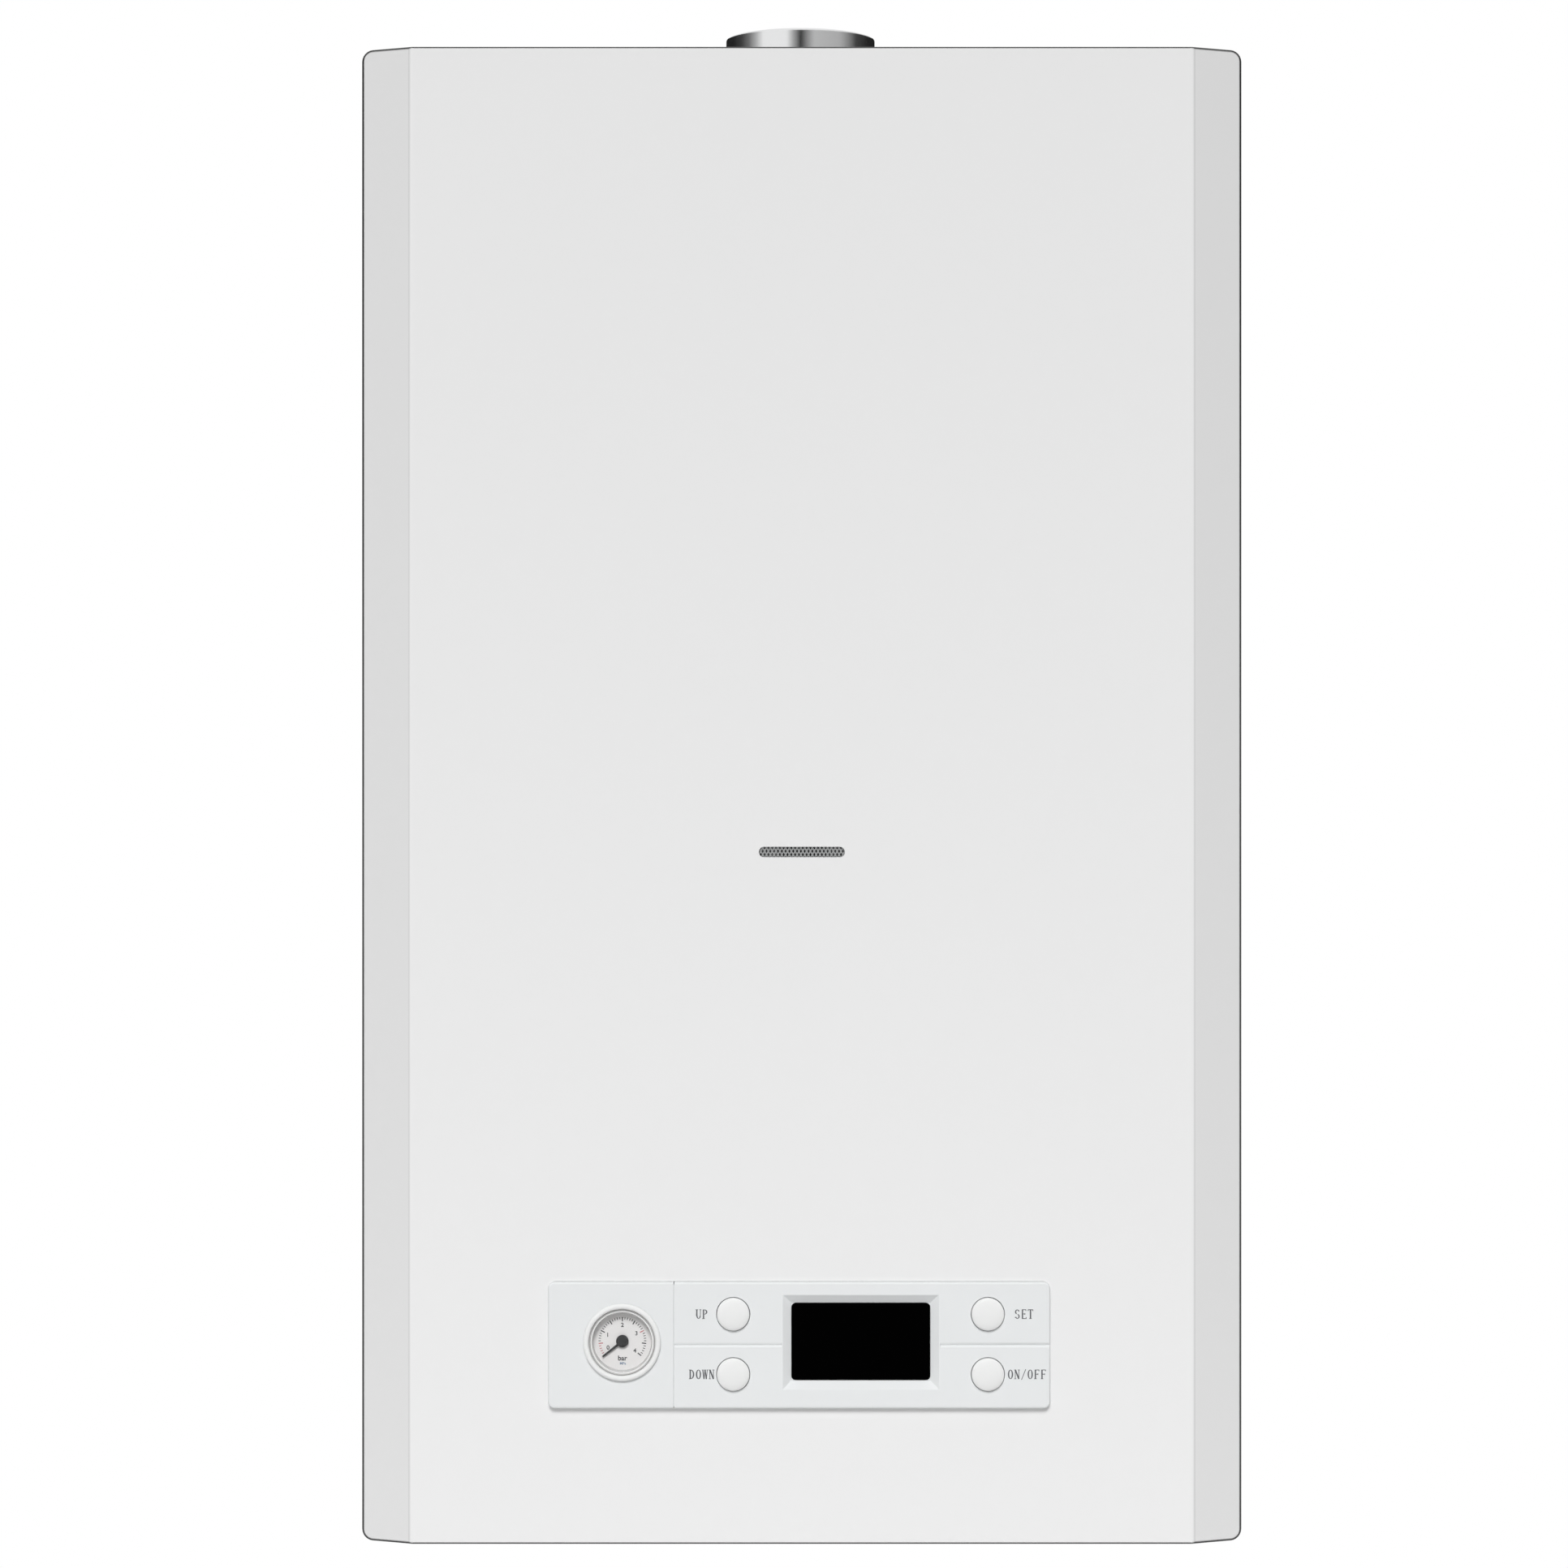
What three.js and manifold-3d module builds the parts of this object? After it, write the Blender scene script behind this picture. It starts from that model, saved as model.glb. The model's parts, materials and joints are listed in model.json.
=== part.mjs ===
// A wall-hung combi boiler: a folded steel casing with a lift-off front cover, a sealed
// combustion chamber behind it, and the water side and the controls underneath.
// Millimetres, +Z up, +X to the right seen from the front, +Y towards the wall.
// The origin is the centre of the wall bracket's back face.
import * as THREE from 'three';
import { mergeVertices } from 'three/addons/utils/BufferGeometryUtils.js';
import Module from 'manifold-3d';

// ---------------------------------------------------------------- driving dimensions

// Clearances
const seat = 0.3; // between two pieces that rest on or are bolted to each other
const runningGap = 0.3; // around a shaft, stem or spindle
const slidingGap = 0.5; // around what passes through a cut-out

// Casing
const caseWidth = 440;
const caseHeight = 745;
const caseDepth = 330;
const sheet = 1;
const facetWidth = 25.7; // the slanted strip along each side of the front
const facetDepth = 12;
const cornerRadius = 5.5;
const coverReturn = 45; // how far the cover's sides reach back
const shadowGap = 1.2; // between the cover's rear edge and the side panels
const lapLength = 16; // the panels' lips reach this far into the cover
const flangeWidth = 19;
const hangDrop = 62; // from the casing's top down to the middle of the wall bracket

// Wall bracket
const bracketInset = 70; // shorter than the casing at each end
const bracketHeight = 40;
const bracketThickness = 2.5;
const hookWidth = 30;
const hookReach = 9.5;
const hookLip = 8;
const hookPlay = 4; // the rear sheet's slots are this much wider than the hooks
const wallScrewRadius = 3.5;
const wallScrewInset = 15; // from the bracket's ends
const frameStandOff = 1.5; // from the bracket to the rear sheet

// Control panel
const panelWidth = 249.3;
const panelHeight = 62.6;
const panelCentreX = -1.4;
const panelCentreZ = 99.4; // above the casing's bottom
const panelProud = 4;
const panelEdge = 1.2;
const panelCorner = 3.2;
const panelSkirt = 12; // from the panel's face to its rear edge
const fasciaWall = 4.2;
const gaugePartWidth = 62.45; // the seam lies this far from the panel's left edge
const grooveHeight = 3.2;
const grooveDepth = 1.2;
const windowWidth = 69;
const windowHeight = 38.4;
const windowShift = 0.2; // to the right of the middle between the button columns
const windowRaise = 1.6; // the display and the gauge sit this far above the panel's middle
const windowRebate = 3; // the display's back reaches this far behind its frame
const windowThickness = 2;
const bezelWidth = 4.3;
const bezelDepth = 3.4;

// Box behind the panel
const controlBoxHeight = 110;
const controlBoxDepth = 60;
const controlBoxWall = 2.2;
const controlBoxInset = 2; // narrower than the panel at each side
const controlBoxSill = 38; // its underside above the casing's bottom
const boxLegWidth = 16;
const boxLegDepth = 12;
const boxLegInset = 32; // from the box's sides
const boardThickness = 1.6;
const boardSetBack = 17; // from the box's front rim to the board
const keySwitchSize = 6;
const keySwitchHeight = 3;
const relayWidth = 18;
const relayHeight = 26;
const relayPitch = 30;
const relayCount = 4;
const transformerSize = 46;
const transformerDepth = 33;

// Push buttons
const buttonRadius = 8.1;
const buttonGap = 0.35;
const buttonRim = 1.4;
const buttonDome = 1.8;
const buttonTravel = 1.5;
const buttonFlange = 1.1;
const buttonFlangeThickness = 1.5;
const stemRadius = 3;
const leftButtonsInset = 29.5; // from the seam
const rightButtonsInset = 30.95; // from the panel's right edge
const buttonRowOffset = 14.95; // above and below the middle between the two rows
const buttonRowsRaise = 0.65;

// Pressure gauge
const gaugeInset = 36.75; // from the panel's left edge
const gaugeRingRadius = 19.2;
const gaugeRingHeight = 2.2;
const gaugeCaseRadius = 17.4;
const gaugeWall = 1.2;
const gaugeDepth = 22;
const gaugeFloor = 6.5; // the dial lies this far behind the panel's face
const dialThickness = 0.8;
const needleHub = 3;
const needleHubHeight = 1.5;
const needleLength = 12.5;
const needleWidth = 1.3;
const needleThickness = 0.5;
const needleArbor = 1;
const arborLength = 5.5;
const lensThickness = 1.4;
const gaugeZeroAngle = 218; // degrees, anticlockwise from +X seen from the front

// Sight slot and its mesh
const slotWidth = 42.8;
const slotHeight = 5.2;
const meshBorderX = 5.6; // the mesh strip is this much larger than the slot at each end
const meshBorderZ = 3.4; // and this much above and below
const meshThickness = 0.6;
const meshPitch = 1.9;
const meshRowPitch = 1.72;
const meshHoleWidth = 1.15;
const meshHoleHeight = 1.9;
const meshRows = 4;
const meshShift = -0.42; // the rows sit this much off the slot's middle

// Flue
const flueSetBack = 150; // from the wall to the flue's axis
const collarRadius = 40;
const collarWall = 1.2;
const collarHeight = 34; // above the casing's top
const collarInside = 4; // below the chamber's top
const collarFlange = 112;
const collarFlangeThickness = 1.5;
const flangeCorner = 8;
const exhaustRadius = 30;
const exhaustWall = 1.2;
const exhaustRecess = 7; // the inner duct ends this far below the collar's rim
const spacerThickness = 1.5;
const spacerHeight = 12;

// Sealed chamber
const waterSideHeight = 285; // from the casing's bottom to the chamber
const chamberTopGap = 9;
const chamberCover = 29; // from the front cover's inner face to the chamber's front rim
const chamberFlange = 11;
const sealThickness = 1.9;
const sealWidth = 8;
const doorDish = 4;
const doorCorner = 6;
const sightGlassRadius = 16;
const sightGlassThickness = 4;
const sightHoleRadius = 12;

// Burner, combustion box, exchanger and hood
const burnerLegs = 13;
const burnerHeight = 32;
const burnerBar = 8;
const burnerRearInset = 3; // from the exchanger's back
const burnerFrontInset = 7; // from the exchanger's front
const bladeCount = 12;
const bladeWidth = 12;
const bladeChamfer = 3;
const bladeSlope = 5;
const sideRailWidth = 2;
const flameHeight = 13; // the flame is watched this far above the blades
const boxWall = 2;
const exchangerHeight = 66;
const exchangerRearGap = 17; // from the chamber's back
const exchangerFrontGap = 25; // from the chamber's front rim
const finCount = 9;
const finThickness = 1.2;
const waterTubes = 5;
const waterTubeRadius = 9;
const headerReach = 10;
const portReach = 12;
const hoodWall = 1.2;
const hoodOverhang = 5;
const hoodRise = 18; // the hood's front edge
const hoodSlope = 13;
const ductAboveEye = 16;

// Fan
const fanDepth = 56;
const fanWall = 1.2;
const scrollStart = 62;
const scrollEnd = 82;
const scrollMouth = 60;
const scrollNeck = 75; // from the fan's axis up to the scroll's mouth
const neckAllowance = 1.6; // the neck's wall is this much thicker than the duct's
const fanEyeRadius = 34;
const fanBelowTop = 103; // from the chamber's top down to the fan's axis
const impellerRadius = 50;
const impellerBlades = 12;
const impellerRearGap = 8;
const impellerFrontGap = 11;
const impellerHubRadius = 9;
const impellerHubLength = 20;
const bladeChord = 11.5;
const bladeThickness = 1.4;
const impellerPlate = 2;
const fanShaftRadius = 3;
const fanShaftEngagement = 32; // into the motor
const fanMotorRadius = 34;
const fanMotorLength = 48;
const fanMotorFlangeRadius = 41;
const fanMotorFlange = 2;

// Gas manifold and electrode
const manifoldRadius = 8;
const manifoldSetOff = 16; // from the burner's front to the tube's middle
const manifoldRise = 6;
const gasPipeRadius = 7;
const nozzleRadius = 2.6;
const nozzleTaper = 1;
const nozzleGap = 0.7;
const electrodeOffset = 40;
const ceramicRadius = 4;
const ceramicLength = 12;
const ceramicInside = 4;
const electrodeReach = 22;
const electrodeWire = 1;
const electrodeFlange = 1.5;

// Air pressure switch
const switchSetBack = 200;
const switchRadius = 30;
const switchDepth = 25;
const switchRim = 6;
const switchStep = 4;
const nippleRadius = 3;
const nippleLength = 9;
const nippleOffset = 10;

// Expansion vessel
const vesselSideRoom = 40; // from the casing's sides
const vesselFloorRoom = 45; // above the level of the chamber's underside
const vesselTopRoom = 25; // below the level of the chamber's top
const vesselDepth = 70;
const vesselCorner = 40;
const vesselEdge = 12;
const vesselWall = 1.5;
const vesselSeam = 4;
const vesselSeamThickness = 4;
const vesselSetBack = 16; // from the rear sheet
const vesselToChamber = 6.7;
const vesselStudRadius = 20;
const vesselPortRadius = 9;
const vesselPortBore = 4.5;
const vesselPortLength = 14;
const hoseRadius = 6;
const hoseToPump = 16;
const hosePortHeight = 12;
const hosePortOffset = 12; // behind the pump's axis
const hoseDrop = 50; // the hose runs this far straight down before it bends
const hoseRise = 60;

// Water blocks, pipes and valves
const pipeRowSetBack = 110; // from the wall to the connections
const pipePitch = 65;
const blockDepth = 65;
const blockFrontReach = 19.5; // in front of the pump's axis
const blockHeight = 50;
const blockSill = 25; // underside of the two water blocks above the casing's bottom
const blockMargin = 8;
const footWidth = 12;
const riserInset = 52.4; // from the chamber's side to the exchanger pipes
const riserReach = 31; // from the exchanger's ports to the pipes that stand beside it
const riserRadius = 9;
const riserSocket = 3;
const flowRiserInset = 20; // the flow block's riser stands this far inside the pipe above
const flowRiserHeight = 75;
const flowCrossDrop = 45; // below the chamber
const bendRadius = 22;
const diverterX = -88;
const diverterTravel = 7;
const diverterWidth = 44;
const diverterHeight = 62;
const diverterFlangeRadius = 17;
const diverterFlange = 8;
const diverterBore = 40;
const diverterCavityFloor = 12;
const spindleRadius = 3;
const spindleEngagement = 31;
const plugRadius = 9;
const plugGap = 2;
const plugThickness = 4;
const plugDepth = 20; // from the block's top down to the plug when it is up
const platesWidth = 180;
const platesHeight = 72;
const platesDepth = 44;
const plateCount = 11;
const plateGrooveWidth = 1;
const plateGrooveDepth = 2;
const platesRaise = 10;
const valveStubRadius = 10;
const valveStubLength = 24;
const reliefInset = 17; // from the return block's right end
const fillingX = 88;
const knobRise = 22;
const knobRadius = 14;
const knobLength = 20;
const knobRib = 3;
const knobRibDepth = 1.5;
const knobStemRadius = 3;
const knobStemLength = 12;

// Pump
const pumpOutletOffset = 25; // from the pump's axis to the pipe above it
const pumpZ = 125;
const pumpRadius = 38;
const pumpBodyLength = 44;
const pumpCavityRadius = 28;
const pumpCavityFloor = 10;
const pumpNeckRadius = 12;
const pumpOutletRise = 18;
const pumpBoreRadius = 7;
const ventOffset = 22;
const ventRadius = 9;
const ventRise = 22;
const pumpMotorRadius = 44;
const pumpMotorFlange = 6;
const pumpMotorStep = 4;
const pumpToControlBox = 22.4;
const pumpShaftRadius = 4;
const pumpShaftShare = 0.63; // of the motor's length
const pumpWheelRadius = 25;
const pumpWheelGap = 3;
const pumpWheelPlate = 3;
const pumpVanes = 6;
const pumpVaneThickness = 2;
const pumpHubRadius = 8;

// Gas valve
const gasValveWidth = 80;
const gasValveDepth = 70;
const gasValveHeight = 120;
const gasValveSill = 115;
const gasCoilHeight = 40;
const gasCoilRadius = 22;
const gasCoilX = -14;
const gasPlugX = 24;
const gasPlugWidth = 30;
const gasPlugDepth = 50;
const gasPlugHeight = 26;
const gasPortDrop = 28;
const gasSocketRadius = 11;
const gasInletRadius = 12;

// Connections under the casing
const connectionDrop = 28;
const largeThreadRadius = 13.2;
const smallThreadRadius = 10.5;
const largeBoreRadius = 9;
const smallBoreRadius = 7;
const threadLength = 18;
const hexLength = 7;
const hexAllowance = 2;
const neckReduction = 1;
const plateHoleGap = 0.8;

// Cable gland and cover screws
const glandInset = 35; // from the casing's left side
const glandSetBack = 200;
const glandRadius = 7.5;
const glandNutRadius = 11;
const glandNut = 5;
const glandTaper = 4;
const glandBoreRadius = 4.5;
const glandDrop = 15;
const screwInset = 70; // from the casing's sides
const screwRadius = 1.9;
const screwHeadRadius = 4;
const screwHeadHeight = 2.2;
const screwLength = 9;

// How finely curves are drawn, and how far shapes reach past or into what they cut or join
const plainSides = 16;
const fineSides = 36;
const smallSides = 12;
const arcSteps = 2;
const domeSteps = 3;
const scrollSteps = 18;
const pipeSides = 8;
const pipeStep = 16;
const past = 1;
const overlap = 0.5;
const weldDistance = 1e-4;

// ---------------------------------------------------------------- worked out from them

const halfWidth = caseWidth / 2;
const innerHalf = halfWidth - sheet;
const coverRear = -caseDepth + coverReturn;
const panelFront = coverRear + shadowGap;
const lipFront = panelFront - lapLength;
const lipOuter = innerHalf - seat;
const lipInner = lipOuter - sheet;
const frameFront = -(bracketThickness + frameStandOff + sheet);
const flangeBack = frameFront - seat; // back of the flanges that are screwed to the rear sheet
const bracketZ = caseHeight - hangDrop;
const bracketWidth = caseWidth - 2 * bracketInset;
const hookOffset = bracketWidth / 3;
const screwOffset = halfWidth - screwInset;
const screwY = (lipFront + panelFront) / 2;
const glandX = glandInset - halfWidth;

const panelFace = -caseDepth - panelProud;
const panelRear = panelFace + panelSkirt;
const seamOffset = gaugePartWidth - panelWidth / 2; // from the panel's middle
const gaugeX = panelCentreX - panelWidth / 2 + gaugeInset;
const leftButtonsX = panelCentreX + seamOffset + leftButtonsInset;
const rightButtonsX = panelCentreX + panelWidth / 2 - rightButtonsInset;
const windowX = (leftButtonsX + rightButtonsX) / 2 + windowShift;
const windowZ = panelCentreZ + windowRaise;
const buttonRowsZ = panelCentreZ + buttonRowsRaise;
const boxWidth = panelWidth - 2 * controlBoxInset;
const boxFront = panelRear + seat;
const boxBack = boxFront + controlBoxDepth;
const boxTop = controlBoxSill + controlBoxHeight;
const boardFace = boxFront + boardSetBack;
const gaugeBoreRadius = gaugeCaseRadius - gaugeWall;
const arborBore = needleArbor + runningGap;
const arborEnd = -gaugeFloor - arborLength;

const vesselBack = flangeBack - vesselSetBack;
const vesselMiddleY = vesselBack - vesselDepth / 2;
const chamberTop = caseHeight - sheet - chamberTopGap;
const chamberBottom = waterSideHeight;
const chamberMiddle = (chamberTop + chamberBottom) / 2;
const chamberFloor = chamberBottom + sheet;
const chamberFront = -caseDepth + sheet + chamberCover;
const chamberBack = vesselBack - vesselDepth - vesselToChamber;
const chamberHalf = lipInner - seat;
const doorBack = chamberFront - sealThickness - 2 * seat;
const doorWidth = 2 * (chamberHalf - sheet - chamberFlange + sealWidth);
const doorHeight = chamberTop - chamberBottom - 2 * (sheet + chamberFlange - sealWidth);
const vesselWidth = caseWidth - 2 * vesselSideRoom;
const vesselHeight = chamberTop - vesselTopRoom - (chamberBottom + vesselFloorRoom);
const vesselMiddleZ = chamberTop - vesselTopRoom - vesselHeight / 2;

const riserX = chamberHalf - riserInset;
const portHalf = riserX - riserReach;
const finHalf = portHalf - portReach - headerReach;
const exchangerBack = chamberBack - exchangerRearGap;
const exchangerFront = chamberFront + exchangerFrontGap;
const tubePitch = (exchangerBack - exchangerFront) / waterTubes;
const tubeY = (index) => exchangerBack - tubePitch * (index + 0.5);
const combustionFront = exchangerFront - boxWall;
const burnerBack = exchangerBack - burnerRearInset;
const burnerFront = exchangerFront + burnerFrontInset;
const burnerBase = chamberFloor + seat + burnerLegs;
const burnerTop = burnerBase + burnerHeight;
const bladePitch = 2 * (finHalf - sideRailWidth) / bladeCount;
const manifoldY = burnerFront - manifoldSetOff;
const sightZ = burnerTop + flameHeight;

const fanZ = chamberTop - fanBelowTop;
const fanX = scrollMouth / 2 - scrollEnd;
const ductFront = -flueSetBack + fanDepth / 2 + seat;
const hoodBack = chamberBack - sheet - seat;
const hoodBase = fanZ - scrollEnd - hoodRise - hoodSlope;
const exchangerTop = hoodBase - seat;
const exchangerBase = exchangerTop - exchangerHeight;
const exchangerMiddle = exchangerTop - exchangerHeight / 2;
const combustionBase = burnerTop + seat;
const combustionTop = exchangerBase - seat;
const ductInnerRadius = collarRadius - collarWall;
const collarRim = caseHeight + collarHeight;
const collarFoot = chamberTop - collarInside;
const exhaustFoot = collarFoot + 2 * sheet;

const pumpX = riserX - pumpOutletOffset;
const pumpY = tubeY(0);
const pumpOutletTop = pumpZ + pumpRadius + pumpOutletRise;
const pumpMotorLength = pumpY - pumpBodyLength / 2 - seat - boxBack - pumpToControlBox;
const pumpShaftEngagement = pumpShaftShare * pumpMotorLength;
const flowRiserX = flowRiserInset - riserX;
const unionTop = blockSill - seat;
const blockTop = blockSill + blockHeight;
const blockFront = pumpY - blockFrontReach;
const blockBack = blockFront + blockDepth;
const hosePortY = pumpY + hosePortOffset;
const vesselPortX = pumpX - pumpRadius - hoseToPump - hoseRadius;
const knobBack = blockFront - valveStubLength - seat;
const knobZ = blockSill + knobRise;
const gasPortZ = gasValveSill + gasValveHeight - gasPortDrop;
const gasValveFront = -pipeRowSetBack - gasValveDepth / 2;

const connections = [
  { name: 'heating_flow_union', x: -2 * pipePitch, thread: largeThreadRadius, bore: largeBoreRadius },
  { name: 'hot_water_union', x: -pipePitch, thread: smallThreadRadius, bore: smallBoreRadius },
  { name: 'gas_union', x: 0, thread: largeThreadRadius, bore: largeBoreRadius },
  { name: 'cold_water_union', x: pipePitch, thread: smallThreadRadius, bore: smallBoreRadius },
  { name: 'heating_return_union', x: 2 * pipePitch, thread: largeThreadRadius, bore: largeBoreRadius },
];
const returnBlockX = [pipePitch - smallThreadRadius - blockMargin, riserX + pumpNeckRadius];
const flowBlockX = [flowRiserX - riserRadius - riserSocket - blockMargin, -pipePitch + smallThreadRadius];
const reliefX = returnBlockX[1] - reliefInset;

const buttons = [
  { name: 'up_button', x: leftButtonsX, z: buttonRowsZ + buttonRowOffset },
  { name: 'down_button', x: leftButtonsX, z: buttonRowsZ - buttonRowOffset },
  { name: 'set_button', x: rightButtonsX, z: buttonRowsZ + buttonRowOffset },
  { name: 'on_off_button', x: rightButtonsX, z: buttonRowsZ - buttonRowOffset },
];

// ---------------------------------------------------------------- shape helpers

const wasm = await Module();
wasm.setup();

// A closed three.js geometry as a solid that can be joined and cut.
function asSolid(shape) {
  if (!shape.isBufferGeometry) return shape;
  const bare = shape.clone();
  bare.deleteAttribute('normal');
  bare.deleteAttribute('uv');
  const welded = mergeVertices(bare, weldDistance);
  const corners = welded.index.array;
  const faces = [];
  for (let i = 0; i < corners.length; i += 3) {
    const [a, b, c] = corners.slice(i, i + 3);
    if (a !== b && b !== c && c !== a) faces.push(a, b, c);
  }
  return new wasm.Manifold(new wasm.Mesh({
    numProp: 3,
    vertProperties: new Float32Array(welded.attributes.position.array),
    triVerts: new Uint32Array(faces),
  }));
}

const join = (...shapes) => shapes.map(asSolid).reduce((sum, next) => sum.add(next));
const cut = (base, ...tools) => tools.map(asSolid).reduce((rest, next) => rest.subtract(next), asSolid(base));
const common = (first, second) => asSolid(first).intersect(asSolid(second));

function asGeometry(shape) {
  const mesh = asSolid(shape).getMesh();
  const geometry = new THREE.BufferGeometry();
  geometry.setAttribute('position', new THREE.BufferAttribute(mesh.vertProperties, 3));
  geometry.setIndex(new THREE.BufferAttribute(mesh.triVerts, 1));
  geometry.computeVertexNormals();
  return geometry;
}

function part(name, shape, material, [x, y, z] = [0, 0, 0]) {
  const mesh = new THREE.Mesh(asGeometry(shape), material);
  mesh.name = name;
  mesh.position.set(x, y, z);
  return mesh;
}

const around = (centre, size) => [centre - size / 2, centre + size / 2];
const bothSides = (offset) => [-offset, offset];
const repeat = (count, make) => Array.from({ length: count }, (_, i) => make(i));
const row = (index, count, pitch) => (index - (count - 1) / 2) * pitch;

function block([x0, x1], [y0, y1], [z0, z1]) {
  const geometry = new THREE.BoxGeometry(x1 - x0, y1 - y0, z1 - z0);
  return geometry.translate((x0 + x1) / 2, (y0 + y1) / 2, (z0 + z1) / 2);
}

// A round bar about Z from z0 to z1.
function post(radius, [z0, z1], sides = plainSides) {
  const geometry = new THREE.CylinderGeometry(radius, radius, z1 - z0, sides);
  return geometry.rotateX(Math.PI / 2).translate(0, 0, (z0 + z1) / 2);
}

// A turned piece about Z. The profile's points are [radius, height].
function turned(profile, sides = plainSides) {
  const points = profile.map(([radius, height]) => new THREE.Vector2(radius, height));
  return new THREE.LatheGeometry(points, sides).rotateX(Math.PI / 2);
}

const ring = (inner, outer, [z0, z1], sides = plainSides) => turned(
  [[inner, z0], [outer, z0], [outer, z1], [inner, z1], [inner, z0]], sides);

// Turn what is built along +Z to point to the front, the right or the left.
const toFront = (geometry) => geometry.rotateX(Math.PI / 2);
const toRight = (geometry) => geometry.rotateY(Math.PI / 2);
const toLeft = (geometry) => geometry.rotateY(-Math.PI / 2);

const outline = (points) => new THREE.Shape(points.map(([x, y]) => new THREE.Vector2(x, y)));

function roundedRect(width, height, radius) {
  const x = width / 2 - radius;
  const y = height / 2 - radius;
  const shape = new THREE.Shape();
  shape.absarc(x, y, radius, 0, Math.PI / 2);
  shape.absarc(-x, y, radius, Math.PI / 2, Math.PI);
  shape.absarc(-x, -y, radius, Math.PI, Math.PI * 1.5);
  shape.absarc(x, -y, radius, Math.PI * 1.5, Math.PI * 2);
  return shape;
}

const extruded = (shape, depth) => new THREE.ExtrudeGeometry(
  shape, { depth, bevelEnabled: false, curveSegments: arcSteps });

// A slab whose edges are bevelled on both faces; the outline given is that of the faces.
const bevelled = (shape, depth, thickness, size, segments) => new THREE.ExtrudeGeometry(shape, {
  depth, bevelEnabled: true, bevelThickness: thickness, bevelSize: size, bevelSegments: segments,
  curveSegments: arcSteps,
});

// A plan outline (X, Y) that stands from z0 to z1.
const standing = (shape, [z0, z1]) => extruded(shape, z1 - z0).translate(0, 0, z0);

// A front outline (X, Z) that reaches from y0 at its front to y1 at its back.
const facing = (shape, [y0, y1]) => extruded(shape, y1 - y0).rotateX(Math.PI / 2).translate(0, y1, 0);

// A side outline (Y, Z) that reaches from x0 to x1.
function across(shape, [x0, x1]) {
  const turn = new THREE.Matrix4().makeBasis(
    new THREE.Vector3(0, 1, 0), new THREE.Vector3(0, 0, 1), new THREE.Vector3(1, 0, 0));
  return extruded(shape, x1 - x0).applyMatrix4(turn).translate(x0, 0, 0);
}

function swept(route, radius) {
  const section = new THREE.Shape();
  section.absarc(0, 0, radius, 0, Math.PI * 2);
  const steps = Math.ceil(route.getLength() / pipeStep);
  return new THREE.ExtrudeGeometry(section, { steps, curveSegments: pipeSides / 2, extrudePath: route });
}

// A round pipe along straight runs, with its corners bent to one radius.
function pipe(points, radius) {
  const corners = points.map((point) => new THREE.Vector3(...point));
  const route = new THREE.CurvePath();
  const towards = (corner, other) => corner.clone().lerp(other, bendRadius / corner.distanceTo(other));
  let from = corners[0];
  for (let i = 1; i < corners.length - 1; i += 1) {
    const bendStart = towards(corners[i], corners[i - 1]);
    const bendEnd = towards(corners[i], corners[i + 1]);
    route.add(new THREE.LineCurve3(from, bendStart));
    route.add(new THREE.QuadraticBezierCurve3(bendStart, corners[i], bendEnd));
    from = bendEnd;
  }
  route.add(new THREE.LineCurve3(from, corners.at(-1)));
  return swept(route, radius);
}

// ---------------------------------------------------------------- materials

const finish = (color, roughness, metalness) => new THREE.MeshStandardMaterial(
  { color, roughness, metalness });
const whiteEnamel = finish(0xeaeaea, 0.45, 0);
const galvanised = finish(0xb4b8ba, 0.45, 0.8);
const polishedSteel = finish(0xd0d2d4, 0.15, 1);
const aluminised = finish(0xa9abaa, 0.5, 0.8);
const copper = finish(0xb87348, 0.35, 0.9);
const brass = finish(0xb99a56, 0.4, 0.9);
const castMetal = finish(0x8c8f92, 0.55, 0.6);
const whitePlastic = finish(0xe3e5e5, 0.5, 0);
const greyPlastic = finish(0x9a9da0, 0.6, 0);
const blackPlastic = finish(0x1b1c1d, 0.5, 0);
const redPlastic = finish(0xb8322a, 0.5, 0);
const redEnamel = finish(0xa8322a, 0.5, 0);
const bluePlastic = finish(0x2c5a94, 0.5, 0);
const boardGreen = finish(0x2f6a43, 0.6, 0);
const blackGlass = finish(0x020202, 0.1, 0);
const clearGlass = finish(0xe8f0f0, 0.05, 0);
const rubber = finish(0x3a3b3c, 0.9, 0);
const ceramic = finish(0xe8e4da, 0.5, 0);

// ---------------------------------------------------------------- casing

// The cover's folded section seen from above, drawn in by one wall where it is the inside.
function coverSection(inset, rear) {
  const slope = Math.atan2(facetDepth, facetWidth);
  const front = -caseDepth + inset;
  const frontX = halfWidth - facetWidth - inset * Math.tan(slope / 2);
  const sideX = halfWidth - inset;
  const sideY = -caseDepth + facetDepth + inset * Math.tan(Math.PI / 4 - slope / 2);
  return outline([
    [-sideX, rear], [-sideX, sideY], [-frontX, front], [frontX, front], [sideX, sideY], [sideX, rear],
  ]);
}

function coverBody(inset, rear) {
  const rounded = roundedRect(caseWidth - 2 * inset, caseHeight - 2 * inset, cornerRadius - inset);
  const frontView = facing(rounded, [-caseDepth - past, rear + past]).translate(0, 0, caseHeight / 2);
  return common(standing(coverSection(inset, rear), [inset, caseHeight - inset]), frontView);
}

// A cut-out through the cover's front sheet.
const throughFront = (shape, x, z) => facing(
  shape, [-caseDepth - past, -caseDepth + sheet + past]).translate(x, 0, z);

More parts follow.
